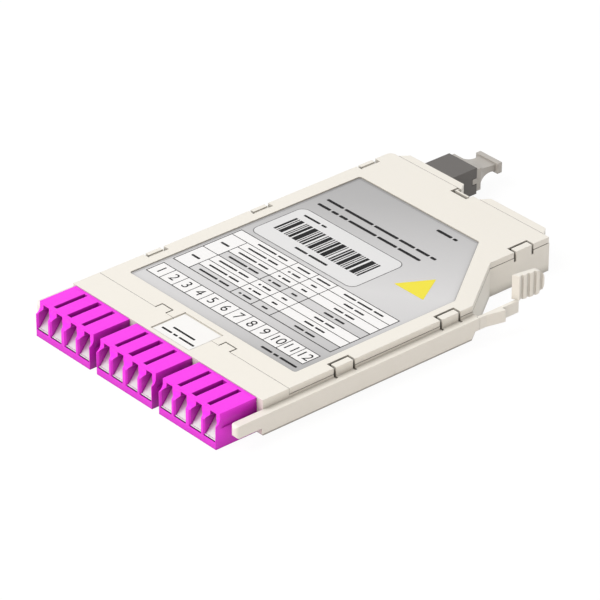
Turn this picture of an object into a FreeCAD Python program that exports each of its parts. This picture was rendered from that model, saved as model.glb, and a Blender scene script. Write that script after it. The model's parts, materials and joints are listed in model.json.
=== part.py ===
"""Fibre cassette: a flat moulded tray with a snapped cover, three quad adapters at the front with
sprung shutters, one multi-fibre adapter with its dust cap at the rear, and a rail on each side.

Row frame, millimetres: +X across the width, +Y to the rear, +Z up. The origin is the centre of the
housing's underside. Lengths along the depth are given as distances behind the housing's front edge.
"""
import FreeCAD, Part

import math
import os

# --- housing ---
LEFT_MARGIN = 1.2            # between the adapter row and the housing's left face
RIGHT_MARGIN = 2.68
BODY_LENGTH = 127.3
BODY_HEIGHT = 11.55
FLOOR = 1.5
WALL = 1.6
FRONT_WALL = 1.8
CORNER_RADIUS = 2.0
NARROW_STEP = 14.95          # the narrow rear part's right side, in from the wide one
NARROW_START = 79.4
NARROW_END = 100.4

# --- cover ---
COVER_THICKNESS = 1.9
COVER_INSET = 0.1            # the cover's edge lies this far inside the walls' outer faces
RIM_GAP = 0.16               # height of the open line under the cover's edge
RIM_DEPTH = 0.45
COVER_LIP = 0.9              # depth and width of the lip that drops inside the walls
LIP_CLEARANCE = 0.15
FRONT_BAND = 9.6             # moulded bridge over the adapters, in front of the cover
REAR_LEDGE = 2.85            # ledge of the tray behind the cover
SEAM = 0.15                  # seam between the cover and the tray's bridge, tabs and ledge

# --- snap fingers of the side walls, held in notches of the cover ---
FINGER_DEPTHS = (30.2, 70.7, 114.0)      # centres behind the front edge
FINGER_WIDTH = 6.3
FINGER_REACH = 2.25          # thickness, from the wall's outer face inwards
FINGER_SLOT = 0.85
FINGER_SLOT_DEPTH = 3.3
FINGER_LEFT_WIDTH = 5.4      # the left wall's fingers are shorter and thinner
FINGER_LEFT_REACH = 1.45
FINGER_LEFT_SLOT = 1.05
FINGER_LEFT_REAR_SLOT = 1.4

# --- front tabs, rear notch and rear catch ---
TAB_OFFSET = 14.3
TAB_WIDTH = 4.3
TAB_REACH = 2.5
TAB_SEAM = 0.45              # wider than the other seams, so that the tabs can bend
LEDGE_LEFT_MARGIN = 3.45     # between the ledge and the housing's left face
LEDGE_RIGHT_MARGIN = 2.5
LEDGE_CHAMFER = 2.2
NOTCH_CENTRE = -6.8
NOTCH_OUTER_WIDTH = 13.5
NOTCH_INNER_WIDTH = 8.3
NOTCH_DEPTH = 4.0
CATCH_CENTRE = -8.5
CATCH_LENGTH = 5.7
CATCH_THICKNESS = 1.3
CATCH_RISE = 0.3
CATCH_SLOT = 0.9
CATCH_FINGER_ROOM = 1.0      # extra width of the slot on the catch's left

# --- slack ring on the floor ---
SPOOL_X = 5.0
SPOOL_DEPTH = 97.0
SPOOL_RADIUS = 13.0
SPOOL_WALL = 1.2
SPOOL_GAP = 7.0
SPOOL_HEIGHT = 6.0

# --- rails ---
RAIL_REACH = 2.76
RAIL_TOP = 8.65
RAIL_THICK = 5.9
RAIL_THIN = 3.95
RAIL_FRONT = -11.9
RAIL_STEP = -2.7
RAIL_THICK_END = 76.8
RAIL_SLANT = 1.3
RAIL_TIP_RADIUS = 1.2

# --- release lever ---
LEVER_THICKNESS = 1.1
LEVER_ROOT = 80.0
LEVER_GAP = 0.1              # round the root, between lever and rail
BARB_START = 82.3
BARB_END = 88.7
BARB_REACH = 1.5
BARB_FLAT = 0.4
PAD_START = 95.2
PAD_LENGTH = 8.9
PAD_HEIGHT = 8.0
PAD_THICKNESS = 1.95
PAD_RAKE = 1.25
PAD_FLARE = 9.0              # degrees
PAD_CORNER = 3.2
RIB_COUNT = 4
RIB_FIRST = 1.0
RIB_PITCH = 2.25
RIB_GROOVE = 0.5

# --- quad adapters ---
ADAPTER_COUNT = 3
ADAPTER_WIDTH = 25.1
ADAPTER_GAP = 3.16           # between neighbouring adapters
ADAPTER_DROP = 0.35          # below the housing's top
ADAPTER_REACH = 13.25        # upper front face, in front of the housing
NOSE_REACH = 1.58            # lower part of the front, in front of the upper face
NOSE_TOP = 7.4
NOSE_BLEND_DROP = 1.6        # the blend's upper end below the adapter's top
NOSE_BLEND_REACH = 0.44      # the blend's middle, in front of the upper face
NOSE_BLEND_SAG = 0.25
NECK_CLEARANCE = 0.15
NECK_INSET = 0.1
ADAPTER_INSIDE = 12.5
BARB_LENGTH = 2.5
NECK_BARB = 0.6
NECK_BARB_RISE = 1.0         # above the ports' floor
NECK_BARB_HEIGHT = 3.0
TOP_SLOT_WIDTH = 1.55
TOP_SLOT_MIDDLE = 2.05
TOP_SLOT_DEPTH = 2.8
TOP_SLOT_FRONT = 0.95
TOP_SLOT_REAR = 1.0
SIDE_RECESS = 0.4
SIDE_RECESS_FULL = 7.6       # full depth from here down
SIDE_RECESS_RUN = 1.6        # length of its ramp at the front
SIDE_RECESS_BOTTOM = 6.3
SIDE_RECESS_DROP = 0.7
SIDE_RECESS_FRONT = 0.15

# --- ports ---
PORT_OUTER_PITCH = 6.25
PORT_MIDDLE_PITCH = 6.71
PORT_WIDTH = 4.7
PORT_MOUTH = 5.42
PORT_LEAD = 0.6
PORT_FLOOR = 2.36
PORT_HEIGHT = 5.5
LATCH_NOTCH_WIDTH = 2.6
LATCH_NOTCH_ROOF = 0.8       # between the notch and the adapter's top
LATCH_SHOULDER = 1.15
MID_WALL_FRONT = 1.2
MID_WALL_REAR = 1.0

# --- split sleeves and their holders ---
SLEEVE_BORE = 1.25
SLEEVE_WALL = 0.18
SLEEVE_LENGTH = 6.8
SLEEVE_SLOT = 0.25
SLEEVE_CLEARANCE = 0.06
HOLDER_RADIUS = 1.35
HOLDER_LENGTH = 8.8
HOLDER_MOUTH_RADIUS = 0.72

# --- shutters ---
SHUTTER_ANGLE = 52.0         # closed, up from level
SHUTTER_LENGTH = 6.25
SHUTTER_THICKNESS = 0.2
SHUTTER_SIDE_GAP = 0.15
SHUTTER_BARREL = 0.3
SHUTTER_SETBACK = 0.65
SHUTTER_AXIS_RISE = 0.15
SHUTTER_GROOVE = 0.55        # depth of the groove in the port's floor that the hinge lies in
SHUTTER_GROOVE_FRONT = 0.55  # from the hinge line to the groove's front
SHUTTER_GROOVE_REAR = 0.5
SHUTTER_PIN = 0.22
SHUTTER_PIN_REACH = 0.4
SHUTTER_PIN_CLEARANCE = 0.05

# --- plugs, boots and fibres inside ---
PLUG_SIZE = 4.4
PLUG_FRONT = 1.3
PLUG_REAR = 17.0
PLUG_BORE = 1.5
PLUG_BORE_DEPTH = 3.8
LATCH_WIDTH = 2.0
LATCH_THICKNESS = 0.6
LATCH_RISE = 0.5
LATCH_ROOT = 0.2             # the latch starts this deep in the plug's top
LATCH_SETBACK = 1.0
LATCH_END = 3.0
FERRULE_DIAMETER = 1.245
FERRULE_TIP_GAP = 0.1
BOOT_LENGTH = 13.0
BOOT_FRONT_RADIUS = 1.9
BOOT_REAR_RADIUS = 0.9
FIBRE_DIAMETER = 0.6
FIBRE_PITCH = 1.1
FIBRE_STAGGER = 1.0
FIBRE_RUN = 8.0
FIBRE_FIRST_RUN = 3.0
ARC_SHARE = 0.45             # of the shorter run, used by an arc
FANOUT_LENGTH = 12.0
FANOUT_HEIGHT = 4.0
FANOUT_MARGIN = 0.9
FANOUT_SEAT_MARGIN = 1.0
TRUNK_DIAMETER = 2.4
TRUNK_LENGTH = 5.0

# --- multi-fibre adapter and its plug ---
MPO_SIDE = 18.5              # its middle, in from the housing's left face
MPO_DROP = 0.075             # its top below the housing's top
MPO_WIDTH = 12.6
MPO_HEIGHT = 9.05
MPO_REACH = 10.2             # behind the housing
MPO_NECK_WIDTH = 11.2
MPO_NECK_HEIGHT = 6.8
MPO_INNER_HEIGHT = 7.0
MPO_INNER_LENGTH = 10.0
MPO_CLEARANCE = 0.1
MPO_RELIEF = 0.25            # round the inner block, in the cover's underside
MPO_BORE_WIDTH = 9.2
MPO_BORE_HEIGHT = 5.0
MPO_MOUTH_WIDTH = 10.2
MPO_MOUTH_HEIGHT = 6.6
MPO_MOUTH_DEPTH = 8.6
MPO_KEYWAY_HEIGHT = 2.15
MPO_KEYWAY_DEPTH = 1.85
MPO_PLUG_CLEARANCE = 0.15
MPO_PLUG_NOSE = 12.5
MPO_SLEEVE_WIDTH = 11.0
MPO_SLEEVE_HEIGHT = 6.4
MPO_SLEEVE_LENGTH = 11.0
MPO_SLEEVE_GAP = 0.3
MT_WIDTH = 6.4
MT_HEIGHT = 2.5
MT_REACH = 3.0
MPO_BOOT_LENGTH = 10.0
MPO_BOOT_WIDTH = 8.0
MPO_BOOT_HEIGHT = 5.4
MPO_BOOT_RIM = 1.0

# --- dust cap ---
CAP_FLANGE_WIDTH = 12.2
CAP_FLANGE_HEIGHT = 7.5
CAP_FLANGE = 1.9
CAP_NOSE_LENGTH = 7.8
CAP_NOSE_CLEARANCE = 0.2
CAP_NECK_LENGTH = 8.2
CAP_NECK_STEP = 0.35         # the neck starts this far inside the flange's edges
CAP_END_STEP = 1.1           # and ends this far inside the end plate's sides
CAP_END_DROP = 0.6           # and this far inside its top and bottom
CAP_WAIST_PLACE = 5.1        # behind the flange
CAP_WAIST_WIDTH = 7.0
CAP_WAIST_HEIGHT = 2.3
CAP_END_WIDTH = 9.8
CAP_END_HEIGHT = 3.5
CAP_END = 1.85

# --- labels ---
LABEL_MARGIN = 5.7           # in from the housing's side faces
LABEL_FRONT = 16.6
LABEL_REAR = 106.5
LABEL_CHAMFER_START = 77.5
LABEL_REAR_MARGIN = 11.7     # its rear right corner, in from the narrow part's side
LABEL_THICKNESS = 0.12
LABEL_RECESS = 0.45          # depth of the cover's recess under it
LABEL_GAP = 0.15             # between its edge and the recess's
LABEL_CORNER = 0.8
SEAL_POCKET_WIDTH = 17.3
SEAL_POCKET_FRONT = 1.4
SEAL_POCKET_REAR = 14.2
SEAL_POCKET_DEPTH = 0.35
SEAL_GAP = 0.5               # between the seal's edge and the pocket's
SEAL_THICKNESS = 0.1

# --- modelling allowances ---
PAST = 1.0                   # how far a cutting shape runs past the face that it opens
WELD = 0.4                   # how far joined shapes overlap before they are fused

# --- worked out from the driving dimensions ---
ADAPTER_PITCH = ADAPTER_WIDTH + ADAPTER_GAP
ROW_WIDTH = (ADAPTER_COUNT - 1) * ADAPTER_PITCH + ADAPTER_WIDTH
BODY_WIDTH = LEFT_MARGIN + ROW_WIDTH + RIGHT_MARGIN
HALF_WIDTH = BODY_WIDTH / 2
ADAPTER_ROW_X = (LEFT_MARGIN - RIGHT_MARGIN) / 2
NARROW_X = HALF_WIDTH - NARROW_STEP
LEDGE_LEFT = HALF_WIDTH - LEDGE_LEFT_MARGIN
LEDGE_RIGHT = NARROW_X - LEDGE_RIGHT_MARGIN
LABEL_SIDE = HALF_WIDTH - LABEL_MARGIN
LABEL_CHAMFER_X = NARROW_X - LABEL_REAR_MARGIN
MPO_X = MPO_SIDE - HALF_WIDTH
WALL_TOP = BODY_HEIGHT - COVER_THICKNESS
COVER_END = BODY_LENGTH - REAR_LEDGE
ADAPTER_TOP = BODY_HEIGHT - ADAPTER_DROP
LATCH_NOTCH_TOP = ADAPTER_TOP - LATCH_NOTCH_ROOF
NOSE_FRONT = -ADAPTER_REACH - NOSE_REACH
PORT_AXIS = PORT_FLOOR + PORT_HEIGHT / 2
RAIL_FACE = HALF_WIDTH + RAIL_REACH
LEVER_X = RAIL_FACE - LEVER_THICKNESS / 2
PORT_OFFSETS = (-PORT_MIDDLE_PITCH / 2 - PORT_OUTER_PITCH, -PORT_MIDDLE_PITCH / 2,
                PORT_MIDDLE_PITCH / 2, PORT_MIDDLE_PITCH / 2 + PORT_OUTER_PITCH)
NECK_WIDTH = ADAPTER_WIDTH - 2 * NECK_INSET
NECK_BOTTOM = FLOOR + NECK_CLEARANCE
NECK_TOP = WALL_TOP - NECK_CLEARANCE
MPO_Z = BODY_HEIGHT - MPO_DROP - MPO_HEIGHT / 2
MPO_REAR = BODY_LENGTH + MPO_REACH
MPO_WALL_FRONT = COVER_END - WALL
MPO_FRONT = MPO_WALL_FRONT - MPO_CLEARANCE - MPO_INNER_LENGTH
MPO_BOOT_FRONT = MPO_FRONT - MPO_SLEEVE_GAP - MPO_SLEEVE_LENGTH - MPO_BOOT_LENGTH
TRUNK_FRONT = MPO_BOOT_FRONT - TRUNK_LENGTH
FANOUT_FRONT = TRUNK_FRONT - FANOUT_LENGTH
BOOT_END = PLUG_REAR + BOOT_LENGTH


def at(x, depth, z):
    """Return the point at x, depth behind the housing's front edge, and z."""
    return FreeCAD.Vector(x, depth - BODY_LENGTH / 2, z)


def box(x_range, depth_range, z_range):
    """Return a box between the given limits."""
    size = [high - low for low, high in (x_range, depth_range, z_range)]
    return Part.makeBox(*size, at(x_range[0], depth_range[0], z_range[0]))


def block(centre, width, height, depth_range):
    """Return a box of a width and height round a centre (x, z)."""
    x, z = centre
    return box((x - width / 2, x + width / 2), depth_range, (z - height / 2, z + height / 2))


def plan_prism(outline, z_range):
    """Extrude an outline of (x, depth) points up through z_range."""
    low, high = z_range
    points = [at(x, depth, low) for x, depth in outline]
    face = Part.Face(Part.makePolygon(points + points[:1]))
    return face.extrude(FreeCAD.Vector(0, 0, high - low))


def side_prism(outline, x_range):
    """Extrude an outline of (depth, z) points across x_range."""
    low, high = x_range
    points = [at(low, depth, z) for depth, z in outline]
    face = Part.Face(Part.makePolygon(points + points[:1]))
    return face.extrude(FreeCAD.Vector(high - low, 0, 0))


def front_wire(outline, depth):
    """Return a closed wire of (x, z) points at one depth."""
    points = [at(x, depth, z) for x, z in outline]
    return Part.makePolygon(points + points[:1])


def front_prism(outline, depth_range):
    """Extrude an outline of (x, z) points from front to rear."""
    low, high = depth_range
    return Part.Face(front_wire(outline, low)).extrude(FreeCAD.Vector(0, high - low, 0))


def rod(radius, start, end):
    """Return a round bar between two points."""
    run = end - start
    return Part.makeCylinder(radius, run.Length, start, run)


def fuse(shapes):
    """Join shapes into one solid with merged faces."""
    first, *rest = shapes
    return first.fuse(rest).removeSplitter() if rest else first


def cut(shape, tools):
    """Take the tools away from a shape."""
    return shape.cut(list(tools)).removeSplitter()


def upright_edges(shape, x, depth, tolerance=0.05):
    """Return the shape's vertical edges at one place in plan."""
    wanted = at(x, depth, 0)
    found = []
    for edge in shape.Edges:
        ends = [vertex.Point for vertex in edge.Vertexes]
        here = all(math.hypot(p.x - wanted.x, p.y - wanted.y) < tolerance for p in ends)
        if len(ends) == 2 and here:
            found.append(edge)
    return found


def inset_outline(outline, distance):
    """Move each side of a counter-clockwise outline inwards by a distance."""
    count = len(outline)
    sides = []
    for index in range(count):
        (x0, y0), (x1, y1) = outline[index], outline[(index + 1) % count]
        length = math.hypot(x1 - x0, y1 - y0)
        direction = ((x1 - x0) / length, (y1 - y0) / length)
        start = (x0 - direction[1] * distance, y0 + direction[0] * distance)
        sides.append((start, direction))
    corners = []
    for index in range(count):
        (ax, ay), (au, av) = sides[index - 1]
        (bx, by), (bu, bv) = sides[index]
        along = ((bx - ax) * bv - (by - ay) * bu) / (au * bv - av * bu)
        corners.append((ax + along * au, ay + along * av))
    return corners


def housing_outline(front, rear):
    """Return the housing's plan from a front depth to a rear depth, counter-clockwise."""
    return [(-HALF_WIDTH, front), (HALF_WIDTH, front), (HALF_WIDTH, NARROW_START),
            (NARROW_X, NARROW_END), (NARROW_X, rear), (-HALF_WIDTH, rear)]


class Finger:
    """One snap finger: the wall it stands in, its size and the slots round it."""

    def __init__(self, side, depth):
        """Place the finger on the right (1) or left (-1) side, round a depth."""
        self.side = side
        if side > 0:
            self.face = HALF_WIDTH if depth < NARROW_START else NARROW_X
            self.reach, self.slot = FINGER_REACH, FINGER_SLOT
            self.front, self.rear_slot = depth - FINGER_WIDTH / 2, FINGER_SLOT
            self.rear = self.front + FINGER_WIDTH
        else:
            self.face = -HALF_WIDTH
            self.reach, self.slot = FINGER_LEFT_REACH, FINGER_LEFT_SLOT
            self.front, self.rear_slot = depth - FINGER_WIDTH / 2, FINGER_LEFT_REAR_SLOT
            self.rear = self.front + FINGER_LEFT_WIDTH

    def span(self, start, end, outwards, inwards, z_range):
        """Return a box between two depths, past the wall's outer face and inwards from it."""
        outer, inner = self.face + self.side * outwards, self.face - self.side * inwards
        return box(sorted((outer, inner)), (start, end), z_range)

    def body(self):
        """Return the finger, rising through the wall to the cover's top."""
        return self.span(self.front, self.rear, 0, self.reach, (FLOOR, BODY_HEIGHT))

    def side_slots(self):
        """Return the slots in the wall before and behind the finger."""
        z_range = (BODY_HEIGHT - FINGER_SLOT_DEPTH, BODY_HEIGHT)
        reach = self.reach + PAST
        return [self.span(self.front - FINGER_SLOT, self.front, PAST, reach, z_range),
                self.span(self.rear, self.rear + self.rear_slot, PAST, reach, z_range)]

    def notch(self):
        """Return the cover's notch round the finger."""
        return self.span(self.front - FINGER_SLOT, self.rear + self.rear_slot, PAST,
                         self.reach + self.slot, (FLOOR, BODY_HEIGHT + PAST))


def fingers():
    """Return the six snap fingers."""
    return [Finger(side, depth) for depth in FINGER_DEPTHS for side in (1, -1)]


def adapter_centres():
    """Return the x of each quad adapter's centre."""
    middle = (ADAPTER_COUNT - 1) / 2
    return [ADAPTER_ROW_X + (index - middle) * ADAPTER_PITCH for index in range(ADAPTER_COUNT)]


def port_centres():
    """Return the x of every port, from left to right."""
    return [centre + offset for centre in adapter_centres() for offset in PORT_OFFSETS]


# --- base tray ---

def rail(side):
    """Return one side rail: a thin rounded front tip and a thicker run with a slanted end."""
    bottom_thick = RAIL_TOP - RAIL_THICK
    bottom_thin = RAIL_TOP - RAIL_THIN
    end = LEVER_ROOT - LEVER_GAP
    outline = [(RAIL_FRONT, bottom_thin), (RAIL_STEP, bottom_thin), (RAIL_STEP, bottom_thick),
               (RAIL_THICK_END, bottom_thick), (RAIL_THICK_END + RAIL_SLANT, bottom_thin),
               (end, bottom_thin), (end, RAIL_TOP), (RAIL_FRONT, RAIL_TOP)]
    bar = side_prism(outline, sorted((side * HALF_WIDTH, side * RAIL_FACE)))
    tip = [edge for edge in bar.Edges
           if all(abs(vertex.Y - at(0, RAIL_FRONT, 0).y) < 0.01 for vertex in edge.Vertexes)]
    return bar.makeFillet(RAIL_TIP_RADIUS, tip)


def lever_seat():
    """Return the round pocket in the right rail's end that the lever's root turns in."""
    radius = LEVER_THICKNESS / 2 + LEVER_GAP
    return rod(radius, at(LEVER_X, LEVER_ROOT, 0), at(LEVER_X, LEVER_ROOT, BODY_HEIGHT))


def ledge():
    """Return the rear ledge with chamfered ends."""
    return plan_prism([(-LEDGE_LEFT, COVER_END - WALL), (LEDGE_RIGHT, COVER_END - WALL),
                       (LEDGE_RIGHT, COVER_END), (LEDGE_RIGHT - LEDGE_CHAMFER, BODY_LENGTH),
                       (-LEDGE_LEFT + LEDGE_CHAMFER, BODY_LENGTH), (-LEDGE_LEFT, COVER_END)],
                      (0, BODY_HEIGHT))


def ledge_notch():
    """Return the tapered notch in the top of the rear ledge."""
    outer, inner = NOTCH_OUTER_WIDTH / 2, NOTCH_INNER_WIDTH / 2
    front, rear = COVER_END - WALL, BODY_LENGTH + PAST
    return plan_prism([(NOTCH_CENTRE - inner, front), (NOTCH_CENTRE + inner, front),
                       (NOTCH_CENTRE + inner, COVER_END), (NOTCH_CENTRE + outer, rear),
                       (NOTCH_CENTRE - outer, rear), (NOTCH_CENTRE - inner, COVER_END)],
                      (BODY_HEIGHT - NOTCH_DEPTH, BODY_HEIGHT + PAST))


def rim_line():
    """Return the open line between the walls' top edge and the cover, but for the slanted wall."""
    outline = housing_outline(FRONT_BAND, COVER_END)
    span = (WALL_TOP - RIM_GAP, WALL_TOP)
    over = inset_outline(outline, -PAST)
    over = [(x, max(depth, FRONT_BAND)) for x, depth in over]
    slanted = box((NARROW_X - PAST, HALF_WIDTH + PAST), (NARROW_START, NARROW_END), span)
    return cut(plan_prism(over, span), [plan_prism(inset_outline(outline, RIM_DEPTH), span), slanted])


def tray_shell():
    """Return the floor, side walls, front bridge and rear wall."""
    outer = plan_prism(housing_outline(0, COVER_END), (0, WALL_TOP))
    outer = outer.makeFillet(CORNER_RADIUS, upright_edges(outer, -HALF_WIDTH, COVER_END))
    bridge = box((-HALF_WIDTH, HALF_WIDTH), (0, FRONT_BAND), (WALL_TOP, BODY_HEIGHT))
    shell = fuse([outer, bridge, ledge()])
    inner = inset_outline(housing_outline(0, COVER_END), WALL)
    inner = [(x, max(depth, FRONT_WALL)) for x, depth in inner]
    cavity = plan_prism(inner, (FLOOR, WALL_TOP))
    over_cover = box((-LEDGE_LEFT - PAST, LEDGE_RIGHT + PAST), (COVER_END - 2 * WALL, COVER_END),
                     (WALL_TOP, BODY_HEIGHT + PAST))
    return cut(shell, [cavity, over_cover, rim_line()])


def front_tabs():
    """Return the two tabs that reach from the bridge into the cover's front edge."""
    return [box((side * TAB_OFFSET - TAB_WIDTH / 2, side * TAB_OFFSET + TAB_WIDTH / 2),
                (FRONT_BAND - WELD, FRONT_BAND + TAB_REACH), (WALL_TOP, BODY_HEIGHT)) for side in (-1, 1)]


def rear_catch():
    """Return the catch that rises through the cover beside the rear notch."""
    rear = COVER_END - CATCH_SLOT
    span = (CATCH_CENTRE - CATCH_LENGTH / 2, CATCH_CENTRE + CATCH_LENGTH / 2)
    return box(span, (rear - CATCH_THICKNESS, rear), (FLOOR, BODY_HEIGHT + CATCH_RISE))


def adapter_windows():
    """Return the front wall's openings for the adapters' necks, and the room for their barbs behind."""
    window = NECK_WIDTH / 2 + NECK_CLEARANCE
    chamber = window + NECK_BARB
    openings = []
    for centre in adapter_centres():
        openings.append(box((centre - window, centre + window), (-PAST, FRONT_WALL), (FLOOR, WALL_TOP)))
        openings.append(box((centre - chamber, centre + chamber),
                            (FRONT_WALL, ADAPTER_INSIDE + NECK_CLEARANCE), (FLOOR, WALL_TOP)))
    return openings


def mpo_window():
    """Return the opening of the rear wall for the multi-fibre adapter's neck."""
    return block((MPO_X, MPO_Z), MPO_NECK_WIDTH + 2 * MPO_CLEARANCE, MPO_NECK_HEIGHT + 2 * MPO_CLEARANCE,
                 (MPO_WALL_FRONT - PAST, BODY_LENGTH + PAST))


def divider_ribs():
    """Return the ribs of the floor between neighbouring adapters."""
    half = (ADAPTER_PITCH - NECK_WIDTH) / 2 - NECK_BARB - NECK_CLEARANCE
    centres = adapter_centres()
    middles = [(a + b) / 2 for a, b in zip(centres, centres[1:])]
    return [box((x - half, x + half), (FRONT_WALL - WELD, ADAPTER_INSIDE), (FLOOR - WELD, WALL_TOP))
            for x in middles]


def fanout_seat():
    """Return the pedestal under the fan-out block."""
    half = fanout_width() / 2 - FANOUT_SEAT_MARGIN
    span = (FANOUT_FRONT + FANOUT_SEAT_MARGIN, TRUNK_FRONT - FANOUT_SEAT_MARGIN)
    return box((MPO_X - half, MPO_X + half), span, (FLOOR - WELD, MPO_Z - FANOUT_HEIGHT / 2))


def spool():
    """Return the slack ring: two half rings standing on the floor."""
    foot, head = at(SPOOL_X, SPOOL_DEPTH, FLOOR - WELD), at(SPOOL_X, SPOOL_DEPTH, FLOOR + SPOOL_HEIGHT)
    ring = rod(SPOOL_RADIUS, foot, head).cut(rod(SPOOL_RADIUS - SPOOL_WALL, foot, head))
    gap = box((SPOOL_X - SPOOL_GAP / 2, SPOOL_X + SPOOL_GAP / 2),
              (SPOOL_DEPTH - SPOOL_RADIUS - PAST, SPOOL_DEPTH + SPOOL_RADIUS + PAST), (0, BODY_HEIGHT))
    return ring.cut(gap)


def base_tray():
    """Return the tray: one moulding with rails, fingers, tabs, ledge, ribs and slack ring."""
    tray = cut(tray_shell(), adapter_windows())
    bodies = [finger.body() for finger in fingers()]
    tray = fuse([tray, rail(1), rail(-1), *bodies, *front_tabs(), rear_catch(), *divider_ribs(),
                 fanout_seat(), *spool().Solids])
    slots = [slot for finger in fingers() for slot in finger.side_slots()]
    return cut(tray, [lever_seat(), ledge_notch(), mpo_window(), seal_pocket(), *slots])


# --- cover, label and seal ---

def cover_outline():
    """Return the cover's plan."""
    front = FRONT_BAND + SEAM
    rear = COVER_END - SEAM
    return inset_outline(housing_outline(front - COVER_INSET, rear + COVER_INSET), COVER_INSET)


def cover_lip():
    """Return the lip under the cover that drops just inside the walls."""
    outer = inset_outline(housing_outline(0, COVER_END), WALL + LIP_CLEARANCE)
    front = ADAPTER_INSIDE + 1
    outer = [(x, max(depth, front)) for x, depth in outer]
    inner = inset_outline(outer, COVER_LIP)
    span = (WALL_TOP - COVER_LIP, WALL_TOP)
    return plan_prism(outer, span).cut(plan_prism(inner, span))


def cover_cuts():
    """Return what the cover leaves open: finger notches, tab notches, the catch's slot and a relief."""
    above = BODY_HEIGHT + PAST
    tools = [finger.notch() for finger in fingers()]
    for side in (-1, 1):
        half = TAB_WIDTH / 2 + TAB_SEAM
        tools.append(box((side * TAB_OFFSET - half, side * TAB_OFFSET + half),
                         (FRONT_BAND, FRONT_BAND + TAB_REACH + TAB_SEAM), (FLOOR, above)))
    catch = CATCH_LENGTH / 2 + SEAM
    tools.append(box((CATCH_CENTRE - catch - CATCH_FINGER_ROOM, CATCH_CENTRE + catch),
                     (COVER_END - 2 * CATCH_SLOT - CATCH_THICKNESS, COVER_END + PAST), (FLOOR, above)))
    tools.append(block((MPO_X, MPO_Z), MPO_WIDTH + 2 * MPO_RELIEF, MPO_INNER_HEIGHT + 2 * MPO_RELIEF,
                       (MPO_BOOT_FRONT, COVER_END + PAST)))
    return tools


def label_outline():
    """Return the label's plan: a rectangle with one long chamfer."""
    return [(-LABEL_SIDE, LABEL_FRONT), (LABEL_SIDE, LABEL_FRONT), (LABEL_SIDE, LABEL_CHAMFER_START),
            (LABEL_CHAMFER_X, LABEL_REAR), (-LABEL_SIDE, LABEL_REAR)]


def label_plate(margin, z_range):
    """Return a plate in the label's plan, moved out by a margin, with rounded corners."""
    plate = plan_prism(inset_outline(label_outline(), -margin), z_range)
    upright = [edge for edge in plate.Edges if edge.BoundBox.ZLength > edge.BoundBox.DiagonalLength / 2]
    return plate.makeFillet(LABEL_CORNER + margin, upright)


def seal_plate(margin, z_range):
    """Return a plate in the seal pocket's plan, moved in by a margin."""
    half = SEAL_POCKET_WIDTH / 2 - margin
    return box((-half, half), (SEAL_POCKET_FRONT + margin, SEAL_POCKET_REAR - margin), z_range)


def seal_pocket():
    """Return the shallow pocket across the seam that the seal lies in."""
    return seal_plate(0, (BODY_HEIGHT - SEAL_POCKET_DEPTH, BODY_HEIGHT + PAST))


def top_cover():
    """Return the cover plate with its lip, notches, label recess and inner relief."""
    plate = plan_prism(cover_outline(), (WALL_TOP, BODY_HEIGHT))
    corner = upright_edges(plate, -HALF_WIDTH + COVER_INSET, COVER_END - SEAM)
    plate = plate.makeFillet(CORNER_RADIUS, corner)
    recess = label_plate(LABEL_GAP, (BODY_HEIGHT - LABEL_RECESS, BODY_HEIGHT + PAST))
    return cut(fuse([plate, cover_lip()]), [*cover_cuts(), recess, seal_pocket()])


def cover_label():
    """Return the printed label: a thin film in the cover's recess."""
    bottom = BODY_HEIGHT - LABEL_RECESS
    return label_plate(0, (bottom, bottom + LABEL_THICKNESS))


def seal_sticker():
    """Return the seal film over the seam between bridge and cover."""
    bottom = BODY_HEIGHT - SEAL_POCKET_DEPTH
    return seal_plate(SEAL_GAP, (bottom, bottom + SEAL_THICKNESS))


# --- release lever ---

def lever_arm():
    """Return the thin arm with its round root and outward barb."""
    inner, outer = LEVER_X - LEVER_THICKNESS / 2, RAIL_FACE
    bar = plan_prism([(inner, LEVER_ROOT), (outer, LEVER_ROOT), (outer, BARB_START),
                      (outer + BARB_REACH, BARB_END - BARB_FLAT), (outer + BARB_REACH, BARB_END),
                      (outer, BARB_END), (outer, PAD_START), (inner, PAD_START)],
                     (RAIL_TOP - RAIL_THIN, RAIL_TOP))
    root = rod(LEVER_THICKNESS / 2, at(LEVER_X, LEVER_ROOT, RAIL_TOP - RAIL_THIN),
               at(LEVER_X, LEVER_ROOT, RAIL_TOP))
    return fuse([bar, root])


def pad_blank():
    """Return the thumb pad's plate along +Y, before its grooves, with round rear corners."""
    plate = plan_prism([(RAIL_FACE - PAD_THICKNESS, PAD_START - PAD_RAKE), (RAIL_FACE, PAD_START),
                        (RAIL_FACE, PAD_START + PAD_LENGTH),
                        (RAIL_FACE - PAD_THICKNESS, PAD_START + PAD_LENGTH)],
                       (RAIL_TOP, RAIL_TOP + PAD_HEIGHT))
    rear = at(0, PAD_START + PAD_LENGTH, 0).y
    corners = [edge for edge in plate.Edges
               if abs(edge.CenterOfMass.y - rear) < 0.01
               and abs(edge.BoundBox.XLength - PAD_THICKNESS) < 0.01]
    return plate.makeFillet(PAD_CORNER, corners)


def thumb_pad():
    """Return the flared thumb pad with its upright finger grooves."""
    grooves = [rod(RIB_GROOVE, at(RAIL_FACE, PAD_START + RIB_FIRST + index * RIB_PITCH, 0),
                   at(RAIL_FACE, PAD_START + RIB_FIRST + index * RIB_PITCH, 2 * BODY_HEIGHT))
               for index in range(RIB_COUNT)]
    pad = cut(pad_blank(), grooves)
    pad.rotate(at(RAIL_FACE, PAD_START, 0), FreeCAD.Vector(0, 0, 1), -PAD_FLARE)
    return pad


def release_lever():
    """Return the release lever: arm, barb and thumb pad in one moulding."""
    return fuse([lever_arm(), thumb_pad()])


# --- quad adapters ---

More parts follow.
